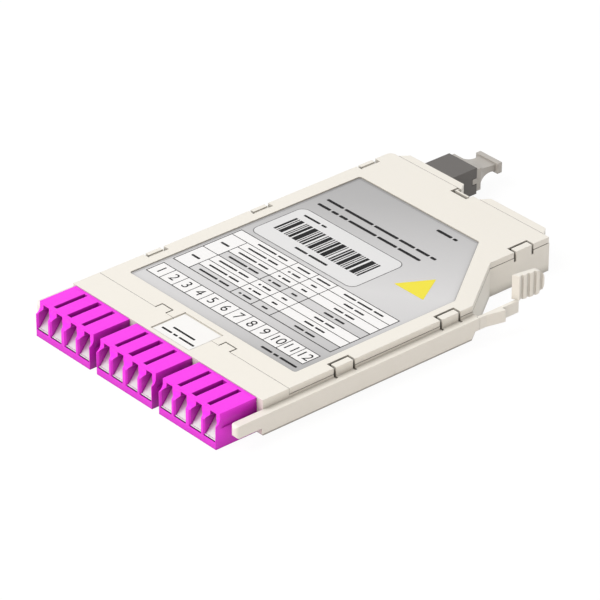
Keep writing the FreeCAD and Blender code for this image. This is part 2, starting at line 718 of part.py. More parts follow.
def port_outline(centre, width):
    """Return a port's front view: a square hole, 45 degree shoulders and a latch notch."""
    roof = PORT_FLOOR + PORT_HEIGHT
    half, notch = width / 2, LATCH_NOTCH_WIDTH / 2
    return [(centre - half, PORT_FLOOR), (centre + half, PORT_FLOOR), (centre + half, roof),
            (centre + notch, roof + LATCH_SHOULDER), (centre + notch, LATCH_NOTCH_TOP),
            (centre - notch, LATCH_NOTCH_TOP), (centre - notch, roof + LATCH_SHOULDER),
            (centre - half, roof)]


def port_cavities(centre):
    """Return the front cavity with its flared mouth, and the rear cavity, of one port."""
    front = front_prism(port_outline(centre, PORT_WIDTH), (NOSE_FRONT - PAST, -MID_WALL_FRONT))
    rear = front_prism(port_outline(centre, PORT_WIDTH), (MID_WALL_REAR, ADAPTER_INSIDE + PAST))
    mouth = Part.makeLoft([front_wire(port_outline(centre, PORT_MOUTH), NOSE_FRONT),
                           front_wire(port_outline(centre, PORT_WIDTH), NOSE_FRONT + PORT_LEAD)], True)
    return [front, rear, mouth]


def sleeve_holder(centre):
    """Return the tube that carries a split sleeve through the middle wall."""
    half = HOLDER_LENGTH / 2
    return rod(HOLDER_RADIUS, at(centre, -half, PORT_AXIS), at(centre, half, PORT_AXIS))


def holder_bores(centre):
    """Return the sleeve's chamber and the smaller mouths that keep it in."""
    chamber = SLEEVE_BORE / 2 + SLEEVE_WALL + SLEEVE_CLEARANCE
    half = SLEEVE_LENGTH / 2 + SLEEVE_CLEARANCE
    reach = HOLDER_LENGTH / 2 + PAST
    return [rod(chamber, at(centre, -half, PORT_AXIS), at(centre, half, PORT_AXIS)),
            rod(HOLDER_MOUTH_RADIUS, at(centre, -reach, PORT_AXIS), at(centre, reach, PORT_AXIS))]


def shutter_sockets(centre):
    """Return the bores of the port's side walls that the shutter's pins turn in."""
    reach = PORT_WIDTH / 2 + SHUTTER_PIN_REACH
    depth, z = shutter_axis()
    radius = SHUTTER_PIN + SHUTTER_PIN_CLEARANCE
    return rod(radius, at(centre - reach, depth, z), at(centre + reach, depth, z))


def shutter_groove(centre):
    """Return the groove in a port's floor that the shutter's rolled edge lies in."""
    depth, _ = shutter_axis()
    return box((centre - PORT_WIDTH / 2, centre + PORT_WIDTH / 2),
               (depth - SHUTTER_GROOVE_FRONT, depth + SHUTTER_GROOVE_REAR),
               (PORT_FLOOR - SHUTTER_GROOVE, PORT_FLOOR + WELD))


def adapter_profile():
    """Return the outer block's side view as a face: upper front, curved blend and proud nose."""
    lower, upper = NOSE_FRONT, -ADAPTER_REACH
    blend_top = ADAPTER_TOP - NOSE_BLEND_DROP
    corners = [at(0, upper, blend_top), at(0, upper, ADAPTER_TOP), at(0, 0, ADAPTER_TOP),
               at(0, 0, 0), at(0, lower, 0), at(0, lower, NOSE_TOP)]
    edges = [Part.makeLine(a, b) for a, b in zip(corners, corners[1:])]
    middle = at(0, upper - NOSE_BLEND_REACH, (NOSE_TOP + blend_top) / 2 - NOSE_BLEND_SAG)
    edges.append(Part.Arc(corners[-1], middle, corners[0]).toShape())
    return Part.Face(Part.Wire(edges))


def adapter_blank(centre):
    """Return the adapter without its ports: outer block, neck and snap barbs."""
    half = ADAPTER_WIDTH / 2
    outer = adapter_profile().extrude(FreeCAD.Vector(ADAPTER_WIDTH, 0, 0))
    outer.translate(FreeCAD.Vector(centre - half, 0, 0))
    neck = box((centre - NECK_WIDTH / 2, centre + NECK_WIDTH / 2), (-WELD, ADAPTER_INSIDE),
               (NECK_BOTTOM, NECK_TOP))
    barbs = []
    for side in (-1, 1):
        face = centre + side * NECK_WIDTH / 2
        start = FRONT_WALL + NECK_CLEARANCE
        root = face - side * WELD
        bottom = PORT_FLOOR + NECK_BARB_RISE
        barbs.append(plan_prism([(root, start), (face + side * NECK_BARB, start),
                                 (face, start + BARB_LENGTH), (root, start + BARB_LENGTH)],
                                (bottom, bottom + NECK_BARB_HEIGHT)))
    return fuse([outer, neck, *barbs])


def adapter_cores(centre):
    """Return the top slots over the pillars and the recesses of both sides."""
    front, rear = -ADAPTER_REACH + TOP_SLOT_FRONT, -TOP_SLOT_REAR
    pillar = (PORT_OFFSETS[2] + PORT_OFFSETS[3]) / 2
    cores = []
    for offset, width in ((-pillar, TOP_SLOT_WIDTH), (0, TOP_SLOT_MIDDLE), (pillar, TOP_SLOT_WIDTH)):
        x = centre + offset
        cores.append(box((x - width / 2, x + width / 2), (front, rear),
                         (ADAPTER_TOP - TOP_SLOT_DEPTH, ADAPTER_TOP + PAST)))
    return cores + [side_recess(centre, side) for side in (-1, 1)]


def side_recess(centre, side):
    """Return one side's recess: it deepens downwards to a ledge, and from a ramp at the front."""
    face = centre + side * ADAPTER_WIDTH / 2
    outer, inner = face + side * PAST, face - side * SIDE_RECESS
    top = ADAPTER_TOP - SIDE_RECESS_DROP
    front = -ADAPTER_REACH + SIDE_RECESS_FRONT
    profile = front_prism([(outer, SIDE_RECESS_BOTTOM), (inner, SIDE_RECESS_BOTTOM),
                           (inner, SIDE_RECESS_FULL), (face, top), (outer, top)], (front, 0))
    ramp = plan_prism([(outer, front), (face, front), (inner, front + SIDE_RECESS_RUN),
                       (inner, 0), (outer, 0)], (SIDE_RECESS_BOTTOM, top))
    return profile.common(ramp)


def lc_adapter(centre):
    """Return one quad adapter housing."""
    body = cut(adapter_blank(centre), adapter_cores(centre))
    ports = [centre + offset for offset in PORT_OFFSETS]
    body = cut(body, [cavity for x in ports for cavity in port_cavities(x)])
    body = fuse([body, *[sleeve_holder(x) for x in ports]])
    bores = [bore for x in ports for bore in holder_bores(x)]
    hinges = [maker(x) for x in ports for maker in (shutter_sockets, shutter_groove)]
    return cut(body, bores + hinges)


def split_sleeve(centre):
    """Return one split sleeve: a thin tube with a slot along it."""
    ends = at(centre, -SLEEVE_LENGTH / 2, PORT_AXIS), at(centre, SLEEVE_LENGTH / 2, PORT_AXIS)
    radius = SLEEVE_BORE / 2
    tube = rod(radius + SLEEVE_WALL, *ends).cut(rod(radius, *ends))
    slot = box((centre - SLEEVE_SLOT / 2, centre + SLEEVE_SLOT / 2), (-SLEEVE_LENGTH, SLEEVE_LENGTH),
               (PORT_AXIS, PORT_AXIS + SLEEVE_BORE))
    return tube.cut(slot)


# --- shutters ---

def shutter_axis():
    """Return the (depth, z) of the shutters' hinge line."""
    return NOSE_FRONT + SHUTTER_SETBACK, PORT_FLOOR + SHUTTER_AXIS_RISE


def shutter(centre):
    """Return one closed shutter: a leaf that leans back, with a rolled edge and two pins."""
    depth, z = shutter_axis()
    half = PORT_WIDTH / 2 - SHUTTER_SIDE_GAP
    leaf = box((centre - half, centre + half), (depth, depth + SHUTTER_LENGTH),
               (z - SHUTTER_THICKNESS / 2, z + SHUTTER_THICKNESS / 2))
    barrel = rod(SHUTTER_BARREL, at(centre - half, depth, z), at(centre + half, depth, z))
    reach = half + SHUTTER_PIN_REACH
    pins = rod(SHUTTER_PIN, at(centre - reach, depth, z), at(centre + reach, depth, z))
    flap = fuse([leaf, barrel, pins])
    flap.rotate(at(centre, depth, z), FreeCAD.Vector(1, 0, 0), SHUTTER_ANGLE)
    return flap


# --- plugs, boots and fibres inside the housing ---

def inner_plug(centre):
    """Return one inner plug: a square body, open round its ferrule, with a latch on top."""
    body = block((centre, PORT_AXIS), PLUG_SIZE, PLUG_SIZE, (PLUG_FRONT, PLUG_REAR))
    top = PORT_AXIS + PLUG_SIZE / 2
    front, rear = PLUG_FRONT + LATCH_SETBACK, PLUG_REAR - LATCH_END
    latch = side_prism([(front, top - LATCH_ROOT), (rear, top + LATCH_RISE),
                        (rear, top + LATCH_RISE + LATCH_THICKNESS), (front, top + LATCH_THICKNESS)],
                       (centre - LATCH_WIDTH / 2, centre + LATCH_WIDTH / 2))
    bore = rod(PLUG_BORE, at(centre, PLUG_FRONT - PAST, PORT_AXIS),
               at(centre, PLUG_FRONT + PLUG_BORE_DEPTH, PORT_AXIS))
    return cut(fuse([body, latch]), [bore])


def ferrule(centre):
    """Return one ceramic ferrule, half way into its sleeve."""
    return rod(FERRULE_DIAMETER / 2, at(centre, FERRULE_TIP_GAP, PORT_AXIS),
               at(centre, PLUG_FRONT + PLUG_BORE_DEPTH, PORT_AXIS))


def plug_boot(centre):
    """Return one tapered boot."""
    start = at(centre, PLUG_REAR, PORT_AXIS)
    return Part.makeCone(BOOT_FRONT_RADIUS, BOOT_REAR_RADIUS, BOOT_LENGTH, start, FreeCAD.Vector(0, 1, 0))


def fanout_width():
    """Return the width of the fan-out block, from the fibres that leave it."""
    return FIBRE_PITCH * (len(port_centres()) - 1) + FIBRE_DIAMETER + 2 * FANOUT_MARGIN


def fibre_route(index, port):
    """Return the corner points of one fibre, from the fan-out block to its boot."""
    last = len(port_centres()) - 1
    start = MPO_X + (index - last / 2) * FIBRE_PITCH
    bend = FANOUT_FRONT - FIBRE_FIRST_RUN - (last - index) * FIBRE_STAGGER
    return [at(start, FANOUT_FRONT, MPO_Z), at(start, bend, MPO_Z),
            at(port, BOOT_END + FIBRE_RUN, PORT_AXIS), at(port, BOOT_END, PORT_AXIS)]


def bend_points(before, corner, after):
    """Return the start, middle and end of the widest fair arc at a corner."""
    back, ahead = before - corner, after - corner
    reach = ARC_SHARE * min(back.Length, ahead.Length)
    back.normalize()
    ahead.normalize()
    opening = back.getAngle(ahead)
    radius = reach * math.tan(opening / 2)
    bisector = back + ahead
    bisector.normalize()
    middle = corner + bisector * (radius / math.sin(opening / 2) - radius)
    return corner + back * reach, middle, corner + ahead * reach


def tube(points, diameter):
    """Return a round tube along straight runs joined by tangent arcs."""
    edges = []
    start = points[0]
    for before, corner, after in zip(points, points[1:], points[2:]):
        entry, middle, leave = bend_points(before, corner, after)
        edges += [Part.LineSegment(start, entry).toShape(), Part.Arc(entry, middle, leave).toShape()]
        start = leave
    edges.append(Part.LineSegment(start, points[-1]).toShape())
    path = Part.Wire(edges)
    ring = Part.Wire([Part.makeCircle(diameter / 2, points[0], points[1] - points[0])])
    return path.makePipeShell([ring], True, False)


def fibre(index, port):
    """Return one fibre from the fan-out block to its boot."""
    return tube(fibre_route(index, port), FIBRE_DIAMETER)


def fanout_block():
    """Return the block where the trunk splits into single fibres."""
    return block((MPO_X, MPO_Z), fanout_width(), FANOUT_HEIGHT, (FANOUT_FRONT, TRUNK_FRONT))


def trunk_tube():
    """Return the short trunk between the fan-out block and the multi-fibre plug's boot."""
    return rod(TRUNK_DIAMETER / 2, at(MPO_X, TRUNK_FRONT, MPO_Z), at(MPO_X, MPO_BOOT_FRONT, MPO_Z))


# --- multi-fibre plug, adapter and dust cap ---

def mpo_ferrule():
    """Return the rectangular ferrule at the plug's tip."""
    tip = MPO_FRONT + MPO_PLUG_NOSE
    return block((MPO_X, MPO_Z), MT_WIDTH, MT_HEIGHT, (tip, tip + MT_REACH))


def mpo_plug():
    """Return the multi-fibre plug: a nose in the adapter and a coupling sleeve behind it."""
    sleeve_end = MPO_FRONT - MPO_SLEEVE_GAP
    nose = block((MPO_X, MPO_Z), MPO_BORE_WIDTH - 2 * MPO_PLUG_CLEARANCE,
                 MPO_BORE_HEIGHT - 2 * MPO_PLUG_CLEARANCE, (sleeve_end - WELD, MPO_FRONT + MPO_PLUG_NOSE))
    sleeve = block((MPO_X, MPO_Z), MPO_SLEEVE_WIDTH, MPO_SLEEVE_HEIGHT,
                   (sleeve_end - MPO_SLEEVE_LENGTH, sleeve_end))
    return fuse([nose, sleeve])


def mpo_boot():
    """Return the tapered boot between the plug and the trunk."""
    def ring(width, height, depth):
        half, rise = width / 2, height / 2
        return front_wire([(MPO_X - half, MPO_Z - rise), (MPO_X + half, MPO_Z - rise),
                           (MPO_X + half, MPO_Z + rise), (MPO_X - half, MPO_Z + rise)], depth)
    wide = ring(MPO_BOOT_WIDTH, MPO_BOOT_HEIGHT, MPO_BOOT_FRONT + MPO_BOOT_LENGTH)
    narrow = ring(TRUNK_DIAMETER + MPO_BOOT_RIM, TRUNK_DIAMETER + MPO_BOOT_RIM, MPO_BOOT_FRONT)
    return Part.makeLoft([narrow, wide], True)


def mpo_keyways(clearance):
    """Return the key shapes on both sides of the multi-fibre adapter's mouth."""
    height = MPO_KEYWAY_HEIGHT - 2 * clearance
    span = (MPO_REAR - MPO_KEYWAY_DEPTH + clearance, MPO_REAR + clearance)
    middle, wall = (MPO_WIDTH + MPO_MOUTH_WIDTH) / 4, (MPO_WIDTH - MPO_MOUTH_WIDTH) / 2
    return [block((MPO_X + side * middle, MPO_Z), wall, height, span) for side in (-1, 1)]


def mpo_adapter():
    """Return the multi-fibre adapter: outer block, neck through the wall, inner block and bore."""
    outer = block((MPO_X, MPO_Z), MPO_WIDTH, MPO_HEIGHT, (BODY_LENGTH + MPO_CLEARANCE, MPO_REAR))
    neck = block((MPO_X, MPO_Z), MPO_NECK_WIDTH, MPO_NECK_HEIGHT,
                 (MPO_WALL_FRONT - WELD, BODY_LENGTH + WELD))
    inner = block((MPO_X, MPO_Z), MPO_WIDTH, MPO_INNER_HEIGHT, (MPO_FRONT, MPO_WALL_FRONT - MPO_CLEARANCE))
    bore = block((MPO_X, MPO_Z), MPO_BORE_WIDTH, MPO_BORE_HEIGHT, (MPO_FRONT - PAST, MPO_REAR + PAST))
    mouth = block((MPO_X, MPO_Z), MPO_MOUTH_WIDTH, MPO_MOUTH_HEIGHT,
                  (MPO_REAR - MPO_MOUTH_DEPTH, MPO_REAR + PAST))
    return cut(fuse([outer, neck, inner]), [bore, mouth, *mpo_keyways(0)])


def waist(half_start, half_waist, half_end, in_plan):
    """Return a slab whose two sides curve in to a waist along the dust cap's neck."""
    start, end = MPO_REAR + CAP_FLANGE, MPO_REAR + CAP_FLANGE + CAP_NECK_LENGTH
    middle = start + CAP_WAIST_PLACE
    span = CAP_FLANGE_WIDTH

    def place(side, depth):
        if in_plan:
            return at(MPO_X + side, depth, MPO_Z - span)
        return at(MPO_X - span, depth, MPO_Z + side)
    left = Part.Arc(place(half_start, start), place(half_waist, middle), place(half_end, end)).toShape()
    right = Part.Arc(place(-half_end, end), place(-half_waist, middle), place(-half_start, start)).toShape()
    edges = [left, Part.makeLine(place(half_end, end), place(-half_end, end)), right,
             Part.makeLine(place(-half_start, start), place(half_start, start))]
    run = FreeCAD.Vector(0, 0, 2 * span) if in_plan else FreeCAD.Vector(2 * span, 0, 0)
    return Part.Face(Part.Wire(edges)).extrude(run)


def mpo_dust_cap():
    """Return the dust cap: nose, flange with side keys, waisted neck and end plate."""
    flange_end = MPO_REAR + CAP_FLANGE
    neck_end = flange_end + CAP_NECK_LENGTH
    nose = block((MPO_X, MPO_Z), MPO_MOUTH_WIDTH - 2 * CAP_NOSE_CLEARANCE,
                 MPO_MOUTH_HEIGHT - 2 * CAP_NOSE_CLEARANCE, (MPO_REAR - CAP_NOSE_LENGTH, MPO_REAR + WELD))
    flange = block((MPO_X, MPO_Z), CAP_FLANGE_WIDTH, CAP_FLANGE_HEIGHT, (MPO_REAR + SEAM, flange_end))
    step = CAP_NECK_STEP
    end_sides = CAP_END_WIDTH / 2 - CAP_END_STEP
    end_top = CAP_END_HEIGHT / 2 - CAP_END_DROP
    plan = waist(CAP_FLANGE_WIDTH / 2 - step, CAP_WAIST_WIDTH / 2, end_sides, True)
    side = waist(CAP_FLANGE_HEIGHT / 2 - step, CAP_WAIST_HEIGHT / 2, end_top, False)
    end = block((MPO_X, MPO_Z), CAP_END_WIDTH, CAP_END_HEIGHT, (neck_end, neck_end + CAP_END))
    return fuse([nose, flange, plan.common(side), end, *mpo_keyways(SEAM)])


def grouped(maker, ports):
    """Return one compound of the pieces that a maker gives for each port."""
    return Part.makeCompound([maker(x) for x in ports])


def build():
    """Return every sub-part by node name."""
    ports = port_centres()
    nodes = {"base_tray": base_tray(), "top_cover": top_cover(), "cover_label": cover_label(),
             "seal_sticker": seal_sticker(), "release_lever": release_lever(),
             "mpo_adapter": mpo_adapter(), "mpo_dust_cap": mpo_dust_cap(), "mpo_plug": mpo_plug(),
             "mpo_ferrule": mpo_ferrule(), "mpo_boot": mpo_boot(), "trunk_tube": trunk_tube(),
             "fanout_block": fanout_block()}
    per_adapter = len(PORT_OFFSETS)
    for number, centre in enumerate(adapter_centres(), start=1):
        first = (number - 1) * per_adapter
        own = ports[first:first + per_adapter]
        nodes[f"lc_adapter_{number}"] = lc_adapter(centre)
        nodes[f"sleeves_{number}"] = grouped(split_sleeve, own)
        nodes[f"inner_plugs_{number}"] = grouped(inner_plug, own)
        nodes[f"ferrules_{number}"] = grouped(ferrule, own)
        nodes[f"plug_boots_{number}"] = grouped(plug_boot, own)
        nodes[f"fibres_{number}"] = Part.makeCompound([fibre(first + i, x) for i, x in enumerate(own)])
    for number, x in enumerate(ports, start=1):
        nodes[f"shutter_{number}"] = shutter(x)
    return nodes


def main():
    """Write each sub-part to its own STEP file."""
    os.makedirs("parts", exist_ok=True)
    for name, shape in build().items():
        shape.exportStep(f"parts/{name}.step")
        print(f"{name}: {len(shape.Solids)} solids, {shape.Volume:.2f} mm3, valid {shape.isValid()}")


main()
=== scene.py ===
"""Finishes, printed label and studio for a fibre cassette with twelve shuttered ports."""

import json
import logging
import math
from dataclasses import dataclass, field
from enum import Enum
from itertools import cycle
from typing import Any

import bmesh
import bpy
from mathutils import Matrix, Vector

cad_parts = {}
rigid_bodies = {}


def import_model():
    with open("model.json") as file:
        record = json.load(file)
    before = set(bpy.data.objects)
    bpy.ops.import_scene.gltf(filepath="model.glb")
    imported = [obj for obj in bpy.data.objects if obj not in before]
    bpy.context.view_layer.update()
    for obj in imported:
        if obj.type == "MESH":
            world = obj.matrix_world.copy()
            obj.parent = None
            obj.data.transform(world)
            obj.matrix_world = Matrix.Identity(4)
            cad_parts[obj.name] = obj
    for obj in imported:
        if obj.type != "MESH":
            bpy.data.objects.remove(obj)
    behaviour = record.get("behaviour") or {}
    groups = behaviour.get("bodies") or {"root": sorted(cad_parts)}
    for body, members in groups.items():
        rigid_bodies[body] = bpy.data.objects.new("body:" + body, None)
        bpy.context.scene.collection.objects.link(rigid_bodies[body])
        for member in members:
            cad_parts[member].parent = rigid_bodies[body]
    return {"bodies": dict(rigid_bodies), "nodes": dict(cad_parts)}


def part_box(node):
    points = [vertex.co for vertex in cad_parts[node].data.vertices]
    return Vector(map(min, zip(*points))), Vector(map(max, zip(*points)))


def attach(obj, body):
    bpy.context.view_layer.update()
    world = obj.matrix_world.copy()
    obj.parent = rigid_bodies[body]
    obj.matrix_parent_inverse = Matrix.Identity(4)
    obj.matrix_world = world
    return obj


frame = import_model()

log = logging.getLogger("cassette")

Colour = tuple[float, float, float]
Place = tuple[float, float, float]
Span = tuple[float, float]

MM = 0.001
HOUSING_BODY = "housing"
FRONT_EDGE = -63.65  # the frame's Y of the housing's front edge, in millimetres
ADAPTERS = 3
PORTS = 12
WHITE: Colour = (1.0, 1.0, 1.0)


# --- numbers and colours ---------------------------------------------------------------


def behind(depths: Span) -> Span:
    """Return the frame's Y for a span of depths behind the housing's front edge."""
    return depths[0] + FRONT_EDGE, depths[1] + FRONT_EDGE


def astride(middle: float, width: float) -> Span:
    """Return the span of a width round its middle."""
    return middle - width / 2, middle + width / 2


def rgba(colour: Colour) -> tuple[float, float, float, float]:
    """Return an opaque colour."""
    return (*colour, 1.0)


def grey(tone: float) -> Colour:
    """Return the grey of a tone."""
    return tone, tone, tone


def shaded(colour: Colour, shares: Colour) -> Colour:
    """Return a colour with each of its values times a share."""
    return tuple(value * share for value, share in zip(colour, shares))


# --- shader building -------------------------------------------------------------------


@dataclass(frozen=True)
class Hollow:
    """The painted shade that a finish gets deep in slots and corners, with its reach and its fall.
    """

    colour: Colour = (0.30, 0.28, 0.24)
    reach_mm: float = 4.0
    power: float = 1.6


class Wire:
    """A node's output that Python's operators work on."""

    def __init__(self, tree: "Tree", socket: bpy.types.NodeSocket) -> None:
        """Hold an output socket of a tree."""
        self.tree = tree
        self.socket = socket

    def __add__(self, other: Any) -> "Wire":
        """Return self + other."""
        return self.tree.maths("ADD", self, other)

    __radd__ = __add__

    def __sub__(self, other: Any) -> "Wire":
        """Return self - other."""
        return self.tree.maths("SUBTRACT", self, other)

    def __rsub__(self, other: Any) -> "Wire":
        """Return other - self."""
        return self.tree.maths("SUBTRACT", other, self)

    def __mul__(self, other: Any) -> "Wire":
        """Return self * other."""
        return self.tree.maths("MULTIPLY", self, other)

    __rmul__ = __mul__

    def __truediv__(self, other: Any) -> "Wire":
        """Return self / other."""
        return self.tree.maths("DIVIDE", self, other)

    def __pow__(self, other: Any) -> "Wire":
        """Return self to the power of other."""
        return self.tree.maths("POWER", self, other)

    def peak(self, other: Any) -> "Wire":
        """Return the larger of self and other."""
        return self.tree.maths("MAXIMUM", self, other)


class Tree:
    """The nodes of a material or a world."""

    EDGE_SAMPLES = 6
    HOLLOW_SAMPLES = 8

    def __init__(self, owner: bpy.types.Material | bpy.types.World) -> None:
        """Clear the owner's nodes and hold them.

        Args:
            owner: The material or the world.
        """
        owner.use_nodes = True
        self.nodes = owner.node_tree.nodes
        self.links = owner.node_tree.links
        self.nodes.clear()

    def node(self, kind: str, settings: dict[str, Any], inputs: dict[str, Any]) -> bpy.types.Node:
        """Make one node.

        Args:
            kind: The node's type without its ShaderNode prefix.
            settings: Its own properties, set first; a "stops" entry fills a colour ramp.
            inputs: Values or wires by socket identifier or name.

        Returns:
            The node.
        """
        made = self.nodes.new("ShaderNode" + kind)
        for key, value in settings.items():
            if key == "stops":
                ramp = made.color_ramp.elements
                while len(ramp) < len(value):
                    ramp.new(1.0)
                for element, (place, colour) in zip(ramp, value):
                    element.position, element.color = place, rgba(colour)
            else:
                setattr(made, key, value)
        for key, value in inputs.items():
            socket = next(s for s in made.inputs if s.identifier == key or s.name == key)
            if isinstance(value, Wire):
                self.links.new(value.socket, socket)
            else:
                socket.default_value = value
        return made

    def wire(self, kind: str, settings: dict[str, Any], inputs: dict[str, Any],
             output: str = "") -> Wire:
        """Make one node and return a wire from the named output, or from its first one."""
        made = self.node(kind, settings, inputs)
        return Wire(self, made.outputs[output] if output else made.outputs[0])

    def maths(self, operation: str, first: Any, second: Any) -> Wire:
        """Return a wire that holds one sum of numbers."""
        return self.wire("Math", {"operation": operation}, {"Value": first, "Value_001": second})

    def mix(self, share: Any, first: Any, second: Any) -> Wire:
        """Return a colour between two colours.

        Args:
            share: The second colour's share, as a number or a wire.
            first: The first colour, as three numbers or a wire.
            second: The second colour, given in the same way.

        Returns:
            The mixed colour.
        """
        colours = [c if isinstance(c, Wire) else rgba(c) for c in (first, second)]
        made = self.node("Mix", {"data_type": "RGBA"},
                         {"Factor_Float": share, "A_Color": colours[0], "B_Color": colours[1]})
        return Wire(self, next(s for s in made.outputs if s.identifier == "Result_Color"))

    def place(self) -> Wire:
        """Return the place on the piece, in metres."""
        return self.wire("TexCoord", {}, {}, "Object")

    def axis(self, name: str) -> Wire:
        """Return one coordinate of the place, in millimetres."""
        return self.wire("SeparateXYZ", {}, {"Vector": self.place()}, name) * (1 / MM)

    def noise(self, size_mm: float, detail: float = 2.0, stretch: Place = (1, 1, 1)) -> Wire:
        """Return noise from 0 to 1.

        Args:
            size_mm: The size of its patches.
            detail: How many finer layers it has.
            stretch: How much the patches are squeezed along each axis.

        Returns:
            The noise.
        """
        spread = self.wire("Mapping", {}, {"Vector": self.place(), "Scale": stretch})
        settings = {"Scale": 1 / (size_mm * MM), "Detail": detail, "Vector": spread}
        return self.wire("TexNoise", {}, settings, "Fac")

    def rounded(self, radius_mm: float) -> Wire:
        """Return a normal that rounds every edge by a small radius."""
        return self.wire("Bevel", {"samples": self.EDGE_SAMPLES}, {"Radius": radius_mm * MM})

    def edge(self, normal: Wire) -> Wire:
        """Return 0 on flat faces, rising towards the edges that a rounded normal bends.

        Args:
            normal: The rounded normal.

        Returns:
            How far that normal is bent away from the face's own.
        """
        flat = self.wire("NewGeometry", {}, {}, "True Normal")
        facing = self.wire("VectorMath", {"operation": "DOT_PRODUCT"},
                           {"Vector": normal, "Vector_001": flat}, "Value")
        return (1 - facing).peak(0.0)

    def depth(self, hollow: Hollow) -> Wire:
        """Return where painted shade goes: 0 in the open, rising to 1 deep in slots and corners.

        Args:
            hollow: The reach and the fall.

        Returns:
            The depth.
        """
        # Painted shade: ambient occlusion finds slots and corners, and the finishes darken there.
        reach = {"Distance": hollow.reach_mm * MM}
        open_air = self.wire("AmbientOcclusion", {"samples": self.HOLLOW_SAMPLES}, reach, "AO")
        return (1 - open_air) ** hollow.power

    def bump(self, height: Wire, depth_mm: float, normal: Wire | None = None) -> Wire:
        """Return a normal with fine relief.

        Args:
            height: The relief's pattern.
            depth_mm: The relief's depth.
            normal: The normal that it bends, or None for the face's own.

        Returns:
            The bent normal.
        """
        inputs = {"Height": height, "Distance": depth_mm * MM, "Strength": 1.0}
        if normal is not None:
            inputs["Normal"] = normal
        return self.wire("Bump", {}, inputs)

    def shown(self) -> Wire:
        """Return 1 for rays that show the surroundings: straight, reflected or through glass.

        Returns:
            The mask.
        """
        rays = self.node("LightPath", {}, {})
        names = ("Is Camera Ray", "Is Glossy Ray", "Is Transmission Ray")
        straight, glossy, through = (Wire(self, rays.outputs[name]) for name in names)
        return straight.peak(glossy).peak(through)

    def surface(self, inputs: dict[str, Any]) -> None:
        """End the tree in a principled surface."""
        self.finish(self.wire("BsdfPrincipled", {}, inputs))

    def finish(self, shader: Wire) -> None:
        """End the tree in a shader."""
        self.node("OutputMaterial", {}, {"Surface": shader})


# --- finishes --------------------------------------------------------------------------


@dataclass(frozen=True)
class Moulded:
    """Injection-moulded plastic: a tone that drifts, a fine tool texture and softened edges.

    A share scales one part of a mix, and a swing is how far the roughness strays, end to end.
    """

    name: str
    colour: Colour
    roughness: float
    shade: Colour = (0.94, 0.93, 0.92)
    patch_mm: float = 26.0
    patch_detail: float = 3.0
    patch_share: float = 0.65
    speck_grains: float = 5.0
    speck_share: float = 0.35
    speck_swing: float = 0.10
    grain_mm: float = 0.22
    grain_detail: float = 1.0
    grain_depth_mm: float = 0.006
    grain_swing: float = 0.05
    edge_mm: float = 0.18
    edge_share: float = 0.22
    edge_gain: float = 0.12
    specular: float = 0.5
    hollow: Hollow = Hollow()

    def material(self) -> bpy.types.Material:
        """Make the plastic.

        Returns:
            The material.
        """
        made = bpy.data.materials.new(self.name)
        tree = Tree(made)
        drift = tree.noise(self.patch_mm, self.patch_detail)
        speck = tree.noise(self.grain_mm * self.speck_grains)
        grain = tree.noise(self.grain_mm, self.grain_detail)
        normal = tree.rounded(self.edge_mm)
        patches = self.patch_share * drift + self.speck_share * speck
        tone = tree.mix(patches, shaded(self.colour, self.shade), self.colour)
        # Edges lightened towards a paler colour: partly wear, partly a painted highlight along the
        # rounded edges.
        worn_and_highlit = tuple(min(1.0, value + self.edge_gain) for value in self.colour)
        lit = tree.mix(tree.edge(normal) * self.edge_share, tone, worn_and_highlit)
        even = self.roughness + self.speck_swing * (speck - 0.5)
        # Painted shade: the base colour runs to a dark colour deep in slots and corners.
        tree.surface({
            "Base Color": tree.mix(tree.depth(self.hollow), lit, self.hollow.colour),
            "Roughness": even + self.grain_swing * (grain - 0.5),
            "Specular IOR Level": self.specular,
            "Normal": tree.bump(grain, self.grain_depth_mm, normal),
        })
        return made


@dataclass(frozen=True)
class Drawn:
    """Spring steel with fine lines along the direction in which the strip was drawn.

    Deep in a port it is painted the colour of the plastic round it, a painted reflection and painted
    shade, and is less metallic there.
    """

    name: str
    colour: Colour
    roughness: float
    shade: float = 0.82
    line_mm: float = 0.12
    line_stretch: Place = (1.0, 0.06, 0.06)
    line_depth_mm: float = 0.002
    line_swing: float = 0.12
    cloud_mm: float = 3.0
    edge_mm: float = 0.08
    hollow: Hollow = Hollow((0.60, 0.01, 0.54), reach_mm=4.6)

    def material(self) -> bpy.types.Material:
        """Make the steel.

        Returns:
            The material.
        """
        made = bpy.data.materials.new(self.name)
        tree = Tree(made)
        lines = tree.noise(self.line_mm, stretch=self.line_stretch)
        cloud = tree.noise(self.cloud_mm)
        darker = shaded(self.colour, grey(self.shade))
        tone = tree.mix(0.5 * lines + 0.5 * cloud, darker, self.colour)
        # Painted reflection and painted shade: deep in a port the steel turns to the magenta round
        # it and loses its metallic weight.
        deep = tree.depth(self.hollow)
        tree.surface({
            "Base Color": tree.mix(deep, tone, self.hollow.colour),
            "Metallic": 1 - deep,
            "Roughness": self.roughness + self.line_swing * (lines - 0.5),
            "Normal": tree.bump(lines, self.line_depth_mm, tree.rounded(self.edge_mm)),
        })
        return made


